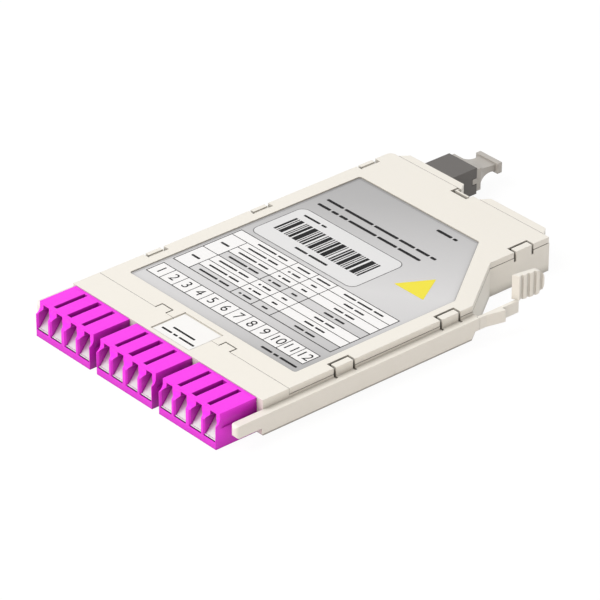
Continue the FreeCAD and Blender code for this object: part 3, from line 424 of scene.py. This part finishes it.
@dataclass(frozen=True)
class SilverFilm:
    """Silver-grey label film with a painted sheen: light in a slanted band, darker at two corners.

    The painted sheen runs over X less a share of Y, and its tones are given by their places on the
    run.
    """

    name: str
    slant: float = 1.33
    front_mm: float = 100.0
    run_mm: float = 190.0
    tones: tuple[Span, ...] = ((0.0, 0.39), (0.16, 0.435), (0.38, 0.57), (0.62, 0.70),
                               (0.80, 0.635), (0.90, 0.555), (1.0, 0.43))
    tint: Colour = (1.0, 1.0, 1.01)
    dim: float = 1.0
    haze: Colour = (0.5, 0.5, 0.5)
    haze_share: float = 0.06
    hair_mm: float = 0.3
    hair_stretch: Place = (0.05, 1.0, 1.0)
    hair_swing: float = 0.10
    cloud_mm: float = 20.0
    cloud_depth_mm: float = 0.01
    roughness: float = 0.36
    coat: float = 0.15
    coat_roughness: float = 0.2
    # Painted shade along the film's edge, where the recess wall shades it.
    rim: Hollow = Hollow((0.16, 0.15, 0.14), reach_mm=2.4, power=0.6)

    def material(self) -> bpy.types.Material:
        """Make the film.

        Returns:
            The material.
        """
        made = bpy.data.materials.new(self.name)
        tree = Tree(made)
        along = (tree.axis("X") - self.slant * tree.axis("Y") + self.front_mm) / self.run_mm
        tint = shaded(grey(self.dim), self.tint)
        stops = tuple((place, shaded(grey(tone), tint)) for place, tone in self.tones)
        # Painted sheen: a slanted band of light with darker corners, standing in for the film's
        # reflections.
        sheen = tree.wire("ValToRGB", {"stops": stops}, {"Fac": along}, "Color")
        hairs = tree.noise(self.hair_mm, stretch=self.hair_stretch)
        cloud = tree.noise(self.cloud_mm)
        hazy = tree.mix(self.haze_share * hairs + self.haze_share * cloud, sheen, self.haze)
        tree.surface({
            "Base Color": tree.mix(tree.depth(self.rim), hazy, self.rim.colour),
            "Roughness": self.roughness + self.hair_swing * (hairs - 0.5),
            "Normal": tree.bump(cloud, self.cloud_depth_mm),
            "Coat Weight": self.coat,
            "Coat Roughness": self.coat_roughness,
        })
        return made


@dataclass(frozen=True)
class Ink:
    """Printed ink or a paper field: an even colour with a slightly uneven density."""

    name: str
    colour: Colour
    roughness: float = 0.45
    thin: float = 0.05
    specular: float = 0.5
    under: float = 0.4
    grain_mm: float = 0.6
    grain_detail: float = 3.0
    grain_depth_mm: float = 0.002
    grain_swing: float = 0.12
    cloud_mm: float = 14.0

    def material(self) -> bpy.types.Material:
        """Make the ink, thinner here and there so that the tone under it shows.

        Returns:
            The material.
        """
        made = bpy.data.materials.new(self.name)
        tree = Tree(made)
        grain = tree.noise(self.grain_mm, self.grain_detail)
        cloud = tree.noise(self.cloud_mm)
        faded = tuple(value * (1 - self.thin) + self.under * self.thin for value in self.colour)
        tree.surface({
            "Base Color": tree.mix(0.5 * grain + 0.5 * cloud, self.colour, faded),
            "Roughness": self.roughness + self.grain_swing * (grain - 0.5),
            "Specular IOR Level": self.specular,
            "Normal": tree.bump(grain, self.grain_depth_mm),
        })
        return made


class Finishes:
    """Every finish of the cassette, made once."""

    def __init__(self) -> None:
        """Make the materials."""
        # The darkest colours given to the finishes below are painted shade deep in slots, gaps and
        # corners.
        self.shell = Moulded(
            "warm_white_shell", (0.888, 0.862, 0.795), 0.46, (0.965, 0.96, 0.95), edge_mm=0.12,
            hollow=Hollow((0.06, 0.055, 0.045), reach_mm=3.0, power=1.25)).material()
        self.adapter = Moulded(
            "magenta_moulding", (0.96, 0.024, 0.88), 0.42, (0.97, 0.85, 0.965), edge_share=0.10,
            specular=0.45, hollow=Hollow((0.15, 0.0, 0.15), reach_mm=6.0, power=1.25)).material()
        self.socket = Moulded(
            "dark_grey_moulding", (0.115, 0.107, 0.10), 0.45, grey(0.9),
            hollow=Hollow(grey(0.03))).material()
        self.cap = Moulded(
            "grey_cap_moulding", (0.50, 0.475, 0.44), 0.38, (0.94, 0.94, 0.93),
            hollow=Hollow((0.17, 0.16, 0.15), reach_mm=2.5, power=1.2)).material()
        self.steel = Drawn("shutter_steel", (0.70, 0.71, 0.68), 0.40).material()
        self.ceramic = Moulded("ground_ceramic", (0.86, 0.86, 0.83), 0.14, grey(0.98),
                               grain_depth_mm=0.001).material()
        self.resin = Moulded("black_ferrule_resin", (0.03, 0.03, 0.032), 0.5).material()
        self.plug = Moulded("plug_moulding", (0.74, 0.72, 0.66), 0.4).material()
        self.boot = Moulded("soft_boot", (0.80, 0.79, 0.75), 0.62, grey(0.9)).material()
        self.jacket = Moulded("fibre_jacket", (0.35, 0.62, 0.70), 0.5, (0.9, 0.95, 0.95)).material()
        self.film = SilverFilm("silver_label_film").material()
        # A dimmer copy of the film, for the painted shadow band along the label's left and rear
        # edges.
        self.film_margin = SilverFilm("label_film_painted_shadow", dim=0.74).material()
        self.seal = Ink("seal_film", (0.93, 0.93, 0.92), 0.4, 0.03).material()
        self.white = Ink("white_field", grey(0.93), 0.42, 0.02).material()
        self.panel = Ink("panel_field", (0.775, 0.78, 0.785), 0.42, 0.02).material()
        self.black = Ink("black_ink", (0.008, 0.008, 0.009), 0.6, 0.02, 0.12).material()
        self.grey = Ink("grey_ink", (0.075, 0.075, 0.08), 0.5, 0.06).material()
        self.yellow = Ink("yellow_field", (0.90, 0.78, 0.02)).material()


def dress(material: bpy.types.Material, *nodes: str) -> None:
    """Give carried-over nodes a finish.

    Args:
        material: The finish.
        nodes: The nodes' names.
    """
    for name in nodes:
        node = frame["nodes"][name]
        node.data.materials.clear()
        node.data.materials.append(material)
    log.info("%s on %s", material.name, ", ".join(nodes))


# --- added pieces ----------------------------------------------------------------------


def lay(name: str, data: bpy.types.Mesh, material: bpy.types.Material) -> None:
    """Make a piece of a mesh that is already in place, and let it ride on the housing.

    Args:
        name: The piece's name.
        data: Its mesh.
        material: Its finish.
    """
    data.materials.clear()
    data.materials.append(material)
    piece = bpy.data.objects.new(name, data)
    bpy.context.scene.collection.objects.link(piece)
    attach(piece, HOUSING_BODY)
    log.info("%s: %d faces", name, len(data.polygons))


class Layer:
    """Flat shapes gathered into one thin mesh, laid at a height; all sizes in millimetres."""

    INK = 0.012
    UPWARDS = 0.9  # the least rise of a normal that counts as facing up
    TOUCHING = 0.001

    def __init__(self, height: float, thickness: float = INK) -> None:
        """Start an empty layer.

        Args:
            height: The height of its underside.
            thickness: Its thickness.
        """
        self.height = height
        self.thickness = thickness
        self.mesh = bmesh.new()

    def patch(self, x: Span, y: Span, radius: float = 0.0, segments: int = 5) -> None:
        """Add a rectangle.

        Args:
            x: Its left and right edges.
            y: Its front and rear edges.
            radius: The radius of its corners.
            segments: The number of steps round a corner.
        """
        made = bmesh.ops.create_grid(self.mesh, x_segments=1, y_segments=1, size=0.5)["verts"]
        size = Vector((x[1] - x[0], y[1] - y[0], 1.0))
        middle = Vector(((x[0] + x[1]) / 2, (y[0] + y[1]) / 2, self.height))
        bmesh.ops.scale(self.mesh, vec=size, verts=made)
        bmesh.ops.translate(self.mesh, vec=middle, verts=made)
        if radius > 0:
            self.soften(made, radius, segments)

    def triangle(self, centre: Span, reach: float, radius: float, segments: int = 4) -> None:
        """Add an upright triangle with rounded corners.

        Args:
            centre: Its centre, across and along.
            reach: The distance from its centre to its corners before they are rounded.
            radius: The radius of its corners.
            segments: The number of steps round a corner.
        """
        made = bmesh.ops.create_circle(self.mesh, cap_ends=True, segments=3, radius=reach)["verts"]
        bmesh.ops.translate(self.mesh, vec=(*centre, self.height), verts=made)
        self.soften(made, radius, segments)

    def soften(self, verts: list[bmesh.types.BMVert], radius: float, segments: int) -> None:
        """Round the corners of a shape."""
        bmesh.ops.bevel(self.mesh, geom=verts, offset=radius, segments=segments, profile=0.5,
                        affect="VERTICES", material=-1)

    def outline(self, x: Span, y: Span, line: float) -> None:
        """Add the outline of a rectangle.

        Args:
            x: Its left and right edges.
            y: Its front and rear edges.
            line: The width of the line, which runs astride the edges.
        """
        half = line / 2
        for place in x:
            self.patch(astride(place, line), (y[0] - half, y[1] + half))
        for place in y:
            self.patch((x[0] + half, x[1] - half), astride(place, line))

    def margin(self, node: str, width: float) -> None:
        """Add a band of painted shadow along the left and rear edges of a carried-over film.

        Args:
            node: The film's name.
            width: The band's width.
        """
        mesh = self.mesh
        mesh.from_mesh(frame["nodes"][node].data)
        bmesh.ops.scale(mesh, vec=(1 / MM, 1 / MM, 1 / MM), verts=mesh.verts[:])
        bmesh.ops.remove_doubles(mesh, verts=mesh.verts[:], dist=self.TOUCHING)
        rest = [face for face in mesh.faces if face.normal.z < self.UPWARDS]
        bmesh.ops.delete(mesh, geom=rest, context="FACES")
        whole = bmesh.ops.dissolve_faces(mesh, faces=mesh.faces[:])["region"]
        bmesh.ops.inset_region(mesh, faces=whole, thickness=width, use_boundary=True,
                               use_even_offset=True)
        left = min(vert.co.x for vert in mesh.verts) + width
        rear = max(vert.co.y for vert in mesh.verts) - width
        middles = {face: face.calc_center_median() for face in mesh.faces}
        bare = [face for face, middle in middles.items() if middle.x > left and middle.y < rear]
        bmesh.ops.delete(mesh, geom=bare, context="FACES")
        rise = self.height - mesh.verts[:][0].co.z
        bmesh.ops.translate(mesh, vec=(0, 0, rise), verts=mesh.verts[:])

    def finish(self, name: str, material: bpy.types.Material, slot: str) -> None:
        """Give the layer its thickness and lay it on the housing.

        Args:
            name: The piece's name.
            material: Its finish.
            slot: Not used.
        """
        raised = bmesh.ops.extrude_face_region(self.mesh, geom=self.mesh.faces[:])["geom"]
        verts = [part for part in raised if isinstance(part, bmesh.types.BMVert)]
        bmesh.ops.translate(self.mesh, vec=(0, 0, self.thickness), verts=verts)
        bmesh.ops.scale(self.mesh, vec=(MM, MM, MM), verts=self.mesh.verts[:])
        bmesh.ops.recalc_face_normals(self.mesh, faces=self.mesh.faces[:])
        data = bpy.data.meshes.new(name)
        self.mesh.to_mesh(data)
        self.mesh.free()
        lay(name, data, material)


class Align(Enum):
    """Where a line of words stands from its given place."""

    LEFT = 0.0
    MIDDLE = 0.5


@dataclass(frozen=True)
class Words:
    """A line of plain dashes, one for each word, that keeps a place for print."""

    x: float
    depth: float
    lengths: tuple[float, ...]
    height: float
    align: Align = Align.LEFT
    gap: float = 0.75
    corner_share: float = 0.6  # of half the height
    corner_segments: int = 2

    def draw(self, layer: Layer) -> None:
        """Add the dashes to a layer.

        Args:
            layer: The layer that they are printed on.
        """
        total = sum(self.lengths) + self.gap * (len(self.lengths) - 1)
        start = self.x - total * self.align.value
        y = astride(self.depth + FRONT_EDGE, self.height)
        radius = self.height / 2 * self.corner_share
        for length in self.lengths:
            layer.patch((start, start + length), y, radius, self.corner_segments)
            start += length + self.gap


# --- sub-assemblies --------------------------------------------------------------------


@dataclass
class Shell:
    """The tray, its cover and the release lever."""

    def build(self, finishes: Finishes) -> None:
        """Dress the shell."""
        dress(finishes.shell, "base_tray", "top_cover", "release_lever")


@dataclass
class ClipSteps:
    """The shallow steps beside the left snap fingers, a little below the cover's top."""

    slot: str = "housing_plastic"
    depths: tuple[float, ...] = (30.2, 70.7, 114.0)
    length: float = 5.4
    lead: float = 3.15
    x: Span = (-41.29, -40.26)
    top: float = 11.15
    thickness: float = 0.8

    def build(self, finishes: Finishes) -> None:
        """Lay the three steps.

        Args:
            finishes: The cassette's finishes.
        """
        layer = Layer(self.top - self.thickness, self.thickness)
        for depth in self.depths:
            front = depth - self.lead + FRONT_EDGE
            layer.patch(self.x, (front, front + self.length))
        layer.finish("left_clip_steps", finishes.shell, self.slot)


@dataclass
class AdapterRow:
    """The three quad adapters and what stands in them."""

    adapters: int = ADAPTERS
    ports: int = PORTS

    def build(self, finishes: Finishes) -> None:
        """Dress the adapters, their shutters and the plugs behind them.

        Args:
            finishes: The cassette's finishes.
        """
        for index in range(1, self.adapters + 1):
            dress(finishes.adapter, f"lc_adapter_{index}")
            dress(finishes.ceramic, f"sleeves_{index}", f"ferrules_{index}")
            dress(finishes.plug, f"inner_plugs_{index}")
            dress(finishes.boot, f"plug_boots_{index}")
            dress(finishes.jacket, f"fibres_{index}")
        dress(finishes.steel, *(f"shutter_{index}" for index in range(1, self.ports + 1)))


@dataclass
class RearPort:
    """The multi-fibre adapter in the rear wall, its cap and the plug inside."""

    def build(self, finishes: Finishes) -> None:
        """Dress the rear port.

        Args:
            finishes: The cassette's finishes.
        """
        dress(finishes.socket, "mpo_adapter")
        dress(finishes.cap, "mpo_dust_cap")
        dress(finishes.plug, "mpo_plug", "fanout_block")
        dress(finishes.resin, "mpo_ferrule")
        dress(finishes.boot, "mpo_boot")
        dress(finishes.jacket, "trunk_tube")


class Level(Enum):
    """The levels of the label's print, counted from the film's face."""

    BACKING = 0
    FIELD = 1
    LINE = 2


@dataclass
class CoverLabel:
    """The label on the cover: a panel of bars, a table, a row of port numbers and a colour field.

    Sizes are in millimetres, places across are the frame's X, and depths are counted from the
    housing's front edge.
    """

    slot: str = "label_film"
    panel_x: Span = (-33.92, 11.78)
    panel_depth: Span = (60.02, 81.02)
    panel_radius: float = 2.6
    panel_segments: int = 8
    bars_x: Span = (-30.42, 8.58)
    bars_depth: Span = (66.02, 75.22)
    bar_widths: tuple[float, ...] = (0.9, 0.4, 1.6, 0.45, 0.45, 1.2, 2.0, 0.4, 0.7)
    bar_gaps: tuple[float, ...] = (0.5, 0.45, 0.9, 0.4, 0.45, 0.6, 0.4)
    table_x: tuple[float, ...] = (-35.52, -28.42, -9.62, -0.32, 8.08, 34.88)
    table_depth: Span = (31.72, 58.02)
    rows: int = 7
    tinted_rows: tuple[int, ...] = (0, 3)
    group_rows: int = 3
    numbers_x: Span = (-35.42, 34.78)
    numbers_depth: Span = (21.42, 28.02)
    digit_height: float = 3.7
    digit_share: float = 0.72  # of the font's size, which a digit's height takes
    digit_swell: float = 0.004
    digit_spacing: float = 1.02
    field_centre: Span = (24.1, 74.9)
    field_reach: float = 7.3
    field_radius: float = 0.5
    line: float = 0.28
    margin: float = 0.85
    ink: float = Layer.INK
    words: tuple[Words, ...] = (
        Words(2.5, 102.3, (6.4, 1.6), 1.1),
        Words(-33.0, 89.8, (7.4, 12.6, 10.4, 6.6, 5.6, 2.2), 1.05),
        Words(-32.9, 86.0, (5.6, 2.8, 3.4, 12.2, 8.4, 9.6), 1.05),
        Words(-30.2, 78.1, (7.2, 2.2), 0.85),
        Words(-10.0, 63.3, (5.4, 8.2), 0.9, Align.MIDDLE),
        Words(19.8, 18.9, (4.6, 2.0, 7.2), 0.8),
    )
    header_words: tuple[tuple[float, ...], ...] = ((8.4, 4.2), (5.4,), (5.8,), (5.2, 6.4, 4.0))
    row_words: tuple[tuple[float, ...], ...] = ((8.2, 4.4), (1.0, 3.6), (2.4,), (4.0, 4.0))
    row_word_height: float = 0.72
    group_words: tuple[float, ...] = (3.6,)
    group_word_height: float = 0.85
    top: float = field(init=False)

    def __post_init__(self) -> None:
        """Find the height of the film's face."""
        self.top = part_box("cover_label")[1].z / MM

    def build(self, finishes: Finishes) -> None:
        """Build every layer of the print, from the film up.

        Args:
            finishes: The cassette's finishes.
        """
        dress(finishes.film, "cover_label")
        self.border(finishes)
        self.fields(finishes)
        self.rules(finishes)
        self.bars(finishes)
        self.print_words(finishes)
        self.numbers(finishes)

    def layer(self, level: Level) -> Layer:
        """Return an empty layer on one of the print's levels."""
        return Layer(self.height(level), self.ink)

    def height(self, level: Level) -> float:
        """Return the height of one of the print's levels."""
        return self.top + level.value * self.ink

    def row(self, index: int) -> Span:
        """Return the front and rear edges of one table row.

        Args:
            index: The row, counted from the front.

        Returns:
            Both edges, in the frame's Y.
        """
        front, rear = behind(self.table_depth)
        step = (rear - front) / self.rows
        return front + index * step, front + (index + 1) * step

    def number_x(self, cells: float) -> float:
        """Return the frame's X at a count of cells along the number row."""
        step = (self.numbers_x[1] - self.numbers_x[0]) / PORTS
        return self.numbers_x[0] + cells * step

    def border(self, finishes: Finishes) -> None:
        """Paint the shadow band along the film's left and rear edges, in a dimmer copy of the film.

        Args:
            finishes: The cassette's finishes.
        """
        layer = self.layer(Level.BACKING)
        layer.margin("cover_label", self.margin)
        layer.finish("label_rim_shadow", finishes.film_margin, self.slot)

    def fields(self, finishes: Finishes) -> None:
        """Print the panel's field over its outline, the white fields and the yellow field.

        Args:
            finishes: The cassette's finishes.
        """
        x, y, line = self.panel_x, behind(self.panel_depth), self.line
        edge = self.layer(Level.BACKING)
        edge.patch((x[0] - line, x[1] + line), (y[0] - line, y[1] + line),
                   self.panel_radius + line, self.panel_segments)
        edge.finish("label_panel_outline", finishes.grey, self.slot)
        pale = self.layer(Level.FIELD)
        pale.patch(x, y, self.panel_radius, self.panel_segments)
        pale.finish("label_panel_field", finishes.panel, self.slot)
        self.white_fields(finishes)
        yellow = self.layer(Level.FIELD)
        across, depth = self.field_centre
        yellow.triangle((across, depth + FRONT_EDGE), self.field_reach, self.field_radius)
        yellow.finish("label_yellow_field", finishes.yellow, self.slot)

    def white_fields(self, finishes: Finishes) -> None:
        """Print the white fields of the number row and of the table's cells.

        Args:
            finishes: The cassette's finishes.
        """
        white = self.layer(Level.FIELD)
        white.patch(self.numbers_x, behind(self.numbers_depth))
        left, split, *_, right = self.table_x
        header = self.rows - 1
        white.patch((left, split), (behind(self.table_depth)[0], self.row(header)[0]))
        for index in range(self.rows):
            if index not in self.tinted_rows:
                white.patch((left if index == header else split, right), self.row(index))
        white.finish("label_white_fields", finishes.white, self.slot)

    def rules(self, finishes: Finishes) -> None:
        """Print the lines of the table and of the number row.

        Args:
            finishes: The cassette's finishes.
        """
        layer = self.layer(Level.LINE)
        left, split, *_, right = self.table_x
        table, header = behind(self.table_depth), self.rows - 1
        layer.outline((left, right), table, self.line)
        for index in range(1, self.rows):
            start = left if index in (self.group_rows, header) else split
            layer.patch((start, right), astride(self.row(index)[0], self.line))
        layer.patch(astride(split, self.line), (table[0], self.row(header)[0]))
        for place in self.table_x[2:-1]:
            layer.patch(astride(place, self.line), table)
        numbers = behind(self.numbers_depth)
        layer.outline(self.numbers_x, numbers, self.line)
        for index in range(1, PORTS):
            layer.patch(astride(self.number_x(index), self.line), numbers)
        layer.finish("label_rules", finishes.black, self.slot)

    def bars(self, finishes: Finishes) -> None:
        """Print a plain pattern of bars.

        Args:
            finishes: The cassette's finishes.
        """
        layer = self.layer(Level.LINE)
        place, end = self.bars_x
        for width, gap in zip(cycle(self.bar_widths), cycle(self.bar_gaps)):
            if place >= end - width:
                break
            layer.patch((place, place + width), behind(self.bars_depth))
            place += width + gap
        layer.finish("label_bars", finishes.black, self.slot)

    def print_words(self, finishes: Finishes) -> None:
        """Print the dashes that keep the places of words.

        Args:
            finishes: The cassette's finishes.
        """
        layer = self.layer(Level.LINE)
        for line in (*self.words, *self.cell_words(), *self.group_titles()):
            line.draw(layer)
        layer.finish("label_word_dashes", finishes.black, self.slot)

    def cell_words(self) -> list[Words]:
        """Work out the words in the table's cells, with the header's.

        Returns:
            A line of words for each cell, row by row from the front.
        """
        made = []
        for index in range(self.rows):
            middle = sum(self.row(index)) / 2 - FRONT_EDGE
            lengths = self.header_words if index == self.rows - 1 else self.row_words
            for low, high, words in zip(self.table_x[1:], self.table_x[2:], lengths):
                place = (low + high) / 2
                made.append(Words(place, middle, words, self.row_word_height, Align.MIDDLE))
        return made

    def group_titles(self) -> list[Words]:
        """Work out the words in the table's first column.

        Returns:
            A line of words for each group of rows.
        """
        made = []
        place = (self.table_x[0] + self.table_x[1]) / 2
        for first in (0, self.group_rows):
            last = first + self.group_rows - 1
            middle = (self.row(first)[0] + self.row(last)[1]) / 2 - FRONT_EDGE
            made.append(Words(place, middle, self.group_words, self.group_word_height,
                              Align.MIDDLE))
        return made

    def numbers(self, finishes: Finishes) -> None:
        """Print the port numbers.

        Args:
            finishes: The cassette's finishes.
        """
        y = sum(behind(self.numbers_depth)) / 2
        for index in range(PORTS):
            place = (self.number_x(index + 0.5), y, self.height(Level.LINE))
            self.number(index + 1, place, finishes)

    def number(self, value: int, place: Place, finishes: Finishes) -> None:
        """Print one port number, as a mesh of its outline.

        Args:
            value: The number.
            place: The middle of its underside.
            finishes: The cassette's finishes.
        """
        curve = bpy.data.curves.new(f"number_{value}", "FONT")
        curve.body = str(value)
        curve.align_x, curve.align_y = "CENTER", "CENTER"
        curve.size = self.digit_height / self.digit_share
        curve.offset = self.digit_swell
        curve.space_character = self.digit_spacing
        curve.extrude = self.ink / 2
        holder = bpy.data.objects.new("number_outline", curve)
        data = bpy.data.meshes.new_from_object(holder)
        bpy.data.objects.remove(holder)
        data.name = f"port_number_{value}"
        x, y, underside = place
        middle = Matrix.Translation(Vector((x, y, underside + self.ink / 2)))
        data.transform(Matrix.Scale(MM, 4) @ middle)
        lay(f"port_number_{value}", data, finishes.black)


@dataclass
class Seal:
    """The small seal over the seam between the front band and the cover."""

    slot: str = "seal_film"
    words: tuple[Words, ...] = (
        Words(0.2, 6.6, (9.6,), 0.75, Align.MIDDLE),
        Words(0.3, 4.2, (4.4, 1.8, 6.6), 0.75, Align.MIDDLE),
    )

    def build(self, finishes: Finishes) -> None:
        """Dress the seal and print its dashes.

        Args:
            finishes: The cassette's finishes.
        """
        dress(finishes.seal, "seal_sticker")
        layer = Layer(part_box("seal_sticker")[1].z / MM)
        for line in self.words:
            line.draw(layer)
        layer.finish("seal_word_dashes", finishes.black, self.slot)


# --- studio ----------------------------------------------------------------------------


@dataclass(frozen=True)
class Lamp:
    """A soft square lamp that points at the cassette, placed and sized in metres."""

    name: str
    place: Place
    size: float
    power: float
    colour: Colour = WHITE

    def build(self) -> None:
        """Hang the lamp."""
        light = bpy.data.lights.new(self.name, "AREA")
        light.size, light.energy, light.color = self.size, self.power, self.colour
        lamp = bpy.data.objects.new(self.name, light)
        lamp.location = self.place
        lamp.rotation_euler = Vector(self.place).to_track_quat("Z", "Y").to_euler()
        bpy.context.scene.collection.objects.link(lamp)


@dataclass(frozen=True)
class Camera:
    """The camera: its turn, tilt and roll in degrees, the place that it looks at and its lens."""

    azimuth: float = 49.240
    elevation: float = 30.335
    roll: float = 0.084
    target_mm: Place = (-27.910, 10.811, -15.904)
    distance_mm: float = 1217.5
    lens_mm: float = 241.07
    sensor_mm: float = 36.0
    clip: Span = (0.05, 50.0)

    def build(self) -> None:
        """Place the camera."""
        turn, tilt, roll = (math.radians(v) for v in (self.azimuth, self.elevation, self.roll))
        right = Vector((math.cos(turn), math.sin(turn), 0))
        ahead = Vector((-math.sin(turn) * math.cos(tilt), math.cos(turn) * math.cos(tilt),
                        -math.sin(tilt)))
        up = right.cross(ahead)
        right, up = (math.cos(roll) * right + math.sin(roll) * up,
                     math.cos(roll) * up - math.sin(roll) * right)
        lens = bpy.data.cameras.new("camera")
        lens.lens, lens.sensor_width = self.lens_mm, self.sensor_mm
        lens.clip_start, lens.clip_end = self.clip
        camera = bpy.data.objects.new("camera", lens)
        axes = Matrix((right, up, -ahead)).transposed().to_4x4()
        eye = (Vector(self.target_mm) - self.distance_mm * ahead) * MM
        camera.matrix_world = Matrix.Translation(eye) @ axes
        bpy.context.scene.collection.objects.link(camera)
        bpy.context.scene.camera = camera


@dataclass
class Studio:
    """A pale floor, soft light and the camera.

    The floor's size and drop are in metres. Its glow is what the camera and reflections see, mixed
    with the matt colour that keeps the cassette's shadow.
    """

    floor_size: float = 12.0
    floor_drop: float = 0.0001
    floor_colour: Colour = (0.72, 0.72, 0.72)
    floor_shade: float = 0.99
    floor_cloud_mm: float = 400.0
    glow: float = 1.06
    glow_share: float = 0.88
    sky: float = 0.50
    lamps: tuple[Lamp, ...] = (
        Lamp("key_lamp", (-0.45, -1.00, 1.45), 1.1, 19.1),
        Lamp("fill_lamp", (0.75, -1.50, 0.6), 1.4, 8.3, (1.0, 0.79, 0.64)),
        Lamp("rim_lamp", (1.20, 1.15, 0.65), 1.4, 2.8, (1.0, 0.88, 0.77)),
    )
    camera: Camera = Camera()

    def build(self) -> None:
        """Build the studio."""
        self.floor()
        self.world()
        for lamp in self.lamps:
            lamp.build()
        self.camera.build()
        bpy.context.scene.view_settings.view_transform = "Standard"

    def floor(self) -> None:
        """Lay the floor that the cassette lies on."""
        mesh = bmesh.new()
        bmesh.ops.create_grid(mesh, x_segments=1, y_segments=1, size=self.floor_size / 2)
        bmesh.ops.translate(mesh, vec=(0, 0, -self.floor_drop), verts=mesh.verts[:])
        data = bpy.data.meshes.new("floor")
        mesh.to_mesh(data)
        mesh.free()
        data.materials.append(self.floor_material())
        floor = bpy.data.objects.new("floor", data)
        bpy.context.scene.collection.objects.link(floor)

    def floor_material(self) -> bpy.types.Material:
        """Make the floor's pale finish.

        Returns:
            The material.
        """
        made = bpy.data.materials.new("pale_floor")
        tree = Tree(made)
        darker = shaded(self.floor_colour, grey(self.floor_shade))
        colour = tree.mix(tree.noise(self.floor_cloud_mm), self.floor_colour, darker)
        matt = tree.wire("BsdfDiffuse", {}, {"Color": colour})
        glow = tree.wire("Emission", {}, {"Color": rgba(WHITE), "Strength": self.glow})
        share = tree.shown() * self.glow_share
        tree.finish(tree.wire("MixShader", {}, {"Fac": share, "Shader": matt, "Shader_001": glow}))
        return made

    def world(self) -> None:
        """Make the even light of the room, which is seen as white."""
        world = bpy.data.worlds.new("room")
        bpy.context.scene.world = world
        tree = Tree(world)
        dim, white = (tree.wire("Background", {}, {"Color": rgba(WHITE), "Strength": strength})
                      for strength in (self.sky, 1.0))
        mixed = tree.wire("MixShader", {}, {"Fac": tree.shown(), "Shader": dim, "Shader_001": white})
        tree.node("OutputWorld", {}, {"Surface": mixed})


def clear_startup() -> None:
    """Remove every object that isn't part of the loaded frame."""
    kept = set(frame["nodes"].values()) | set(frame["bodies"].values())
    for thing in list(bpy.data.objects):
        if thing not in kept:
            bpy.data.objects.remove(thing)


def main() -> None:
    """Build the cassette's looks and the studio."""
    logging.basicConfig(level=logging.INFO, format="%(message)s")
    clear_startup()
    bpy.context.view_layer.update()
    finishes = Finishes()
    for part in (Shell(), ClipSteps(), AdapterRow(), RearPort(), CoverLabel(), Seal()):
        part.build(finishes)
        log.info("%s done", type(part).__name__)
    Studio().build()


if __name__ == "__main__":
    main()
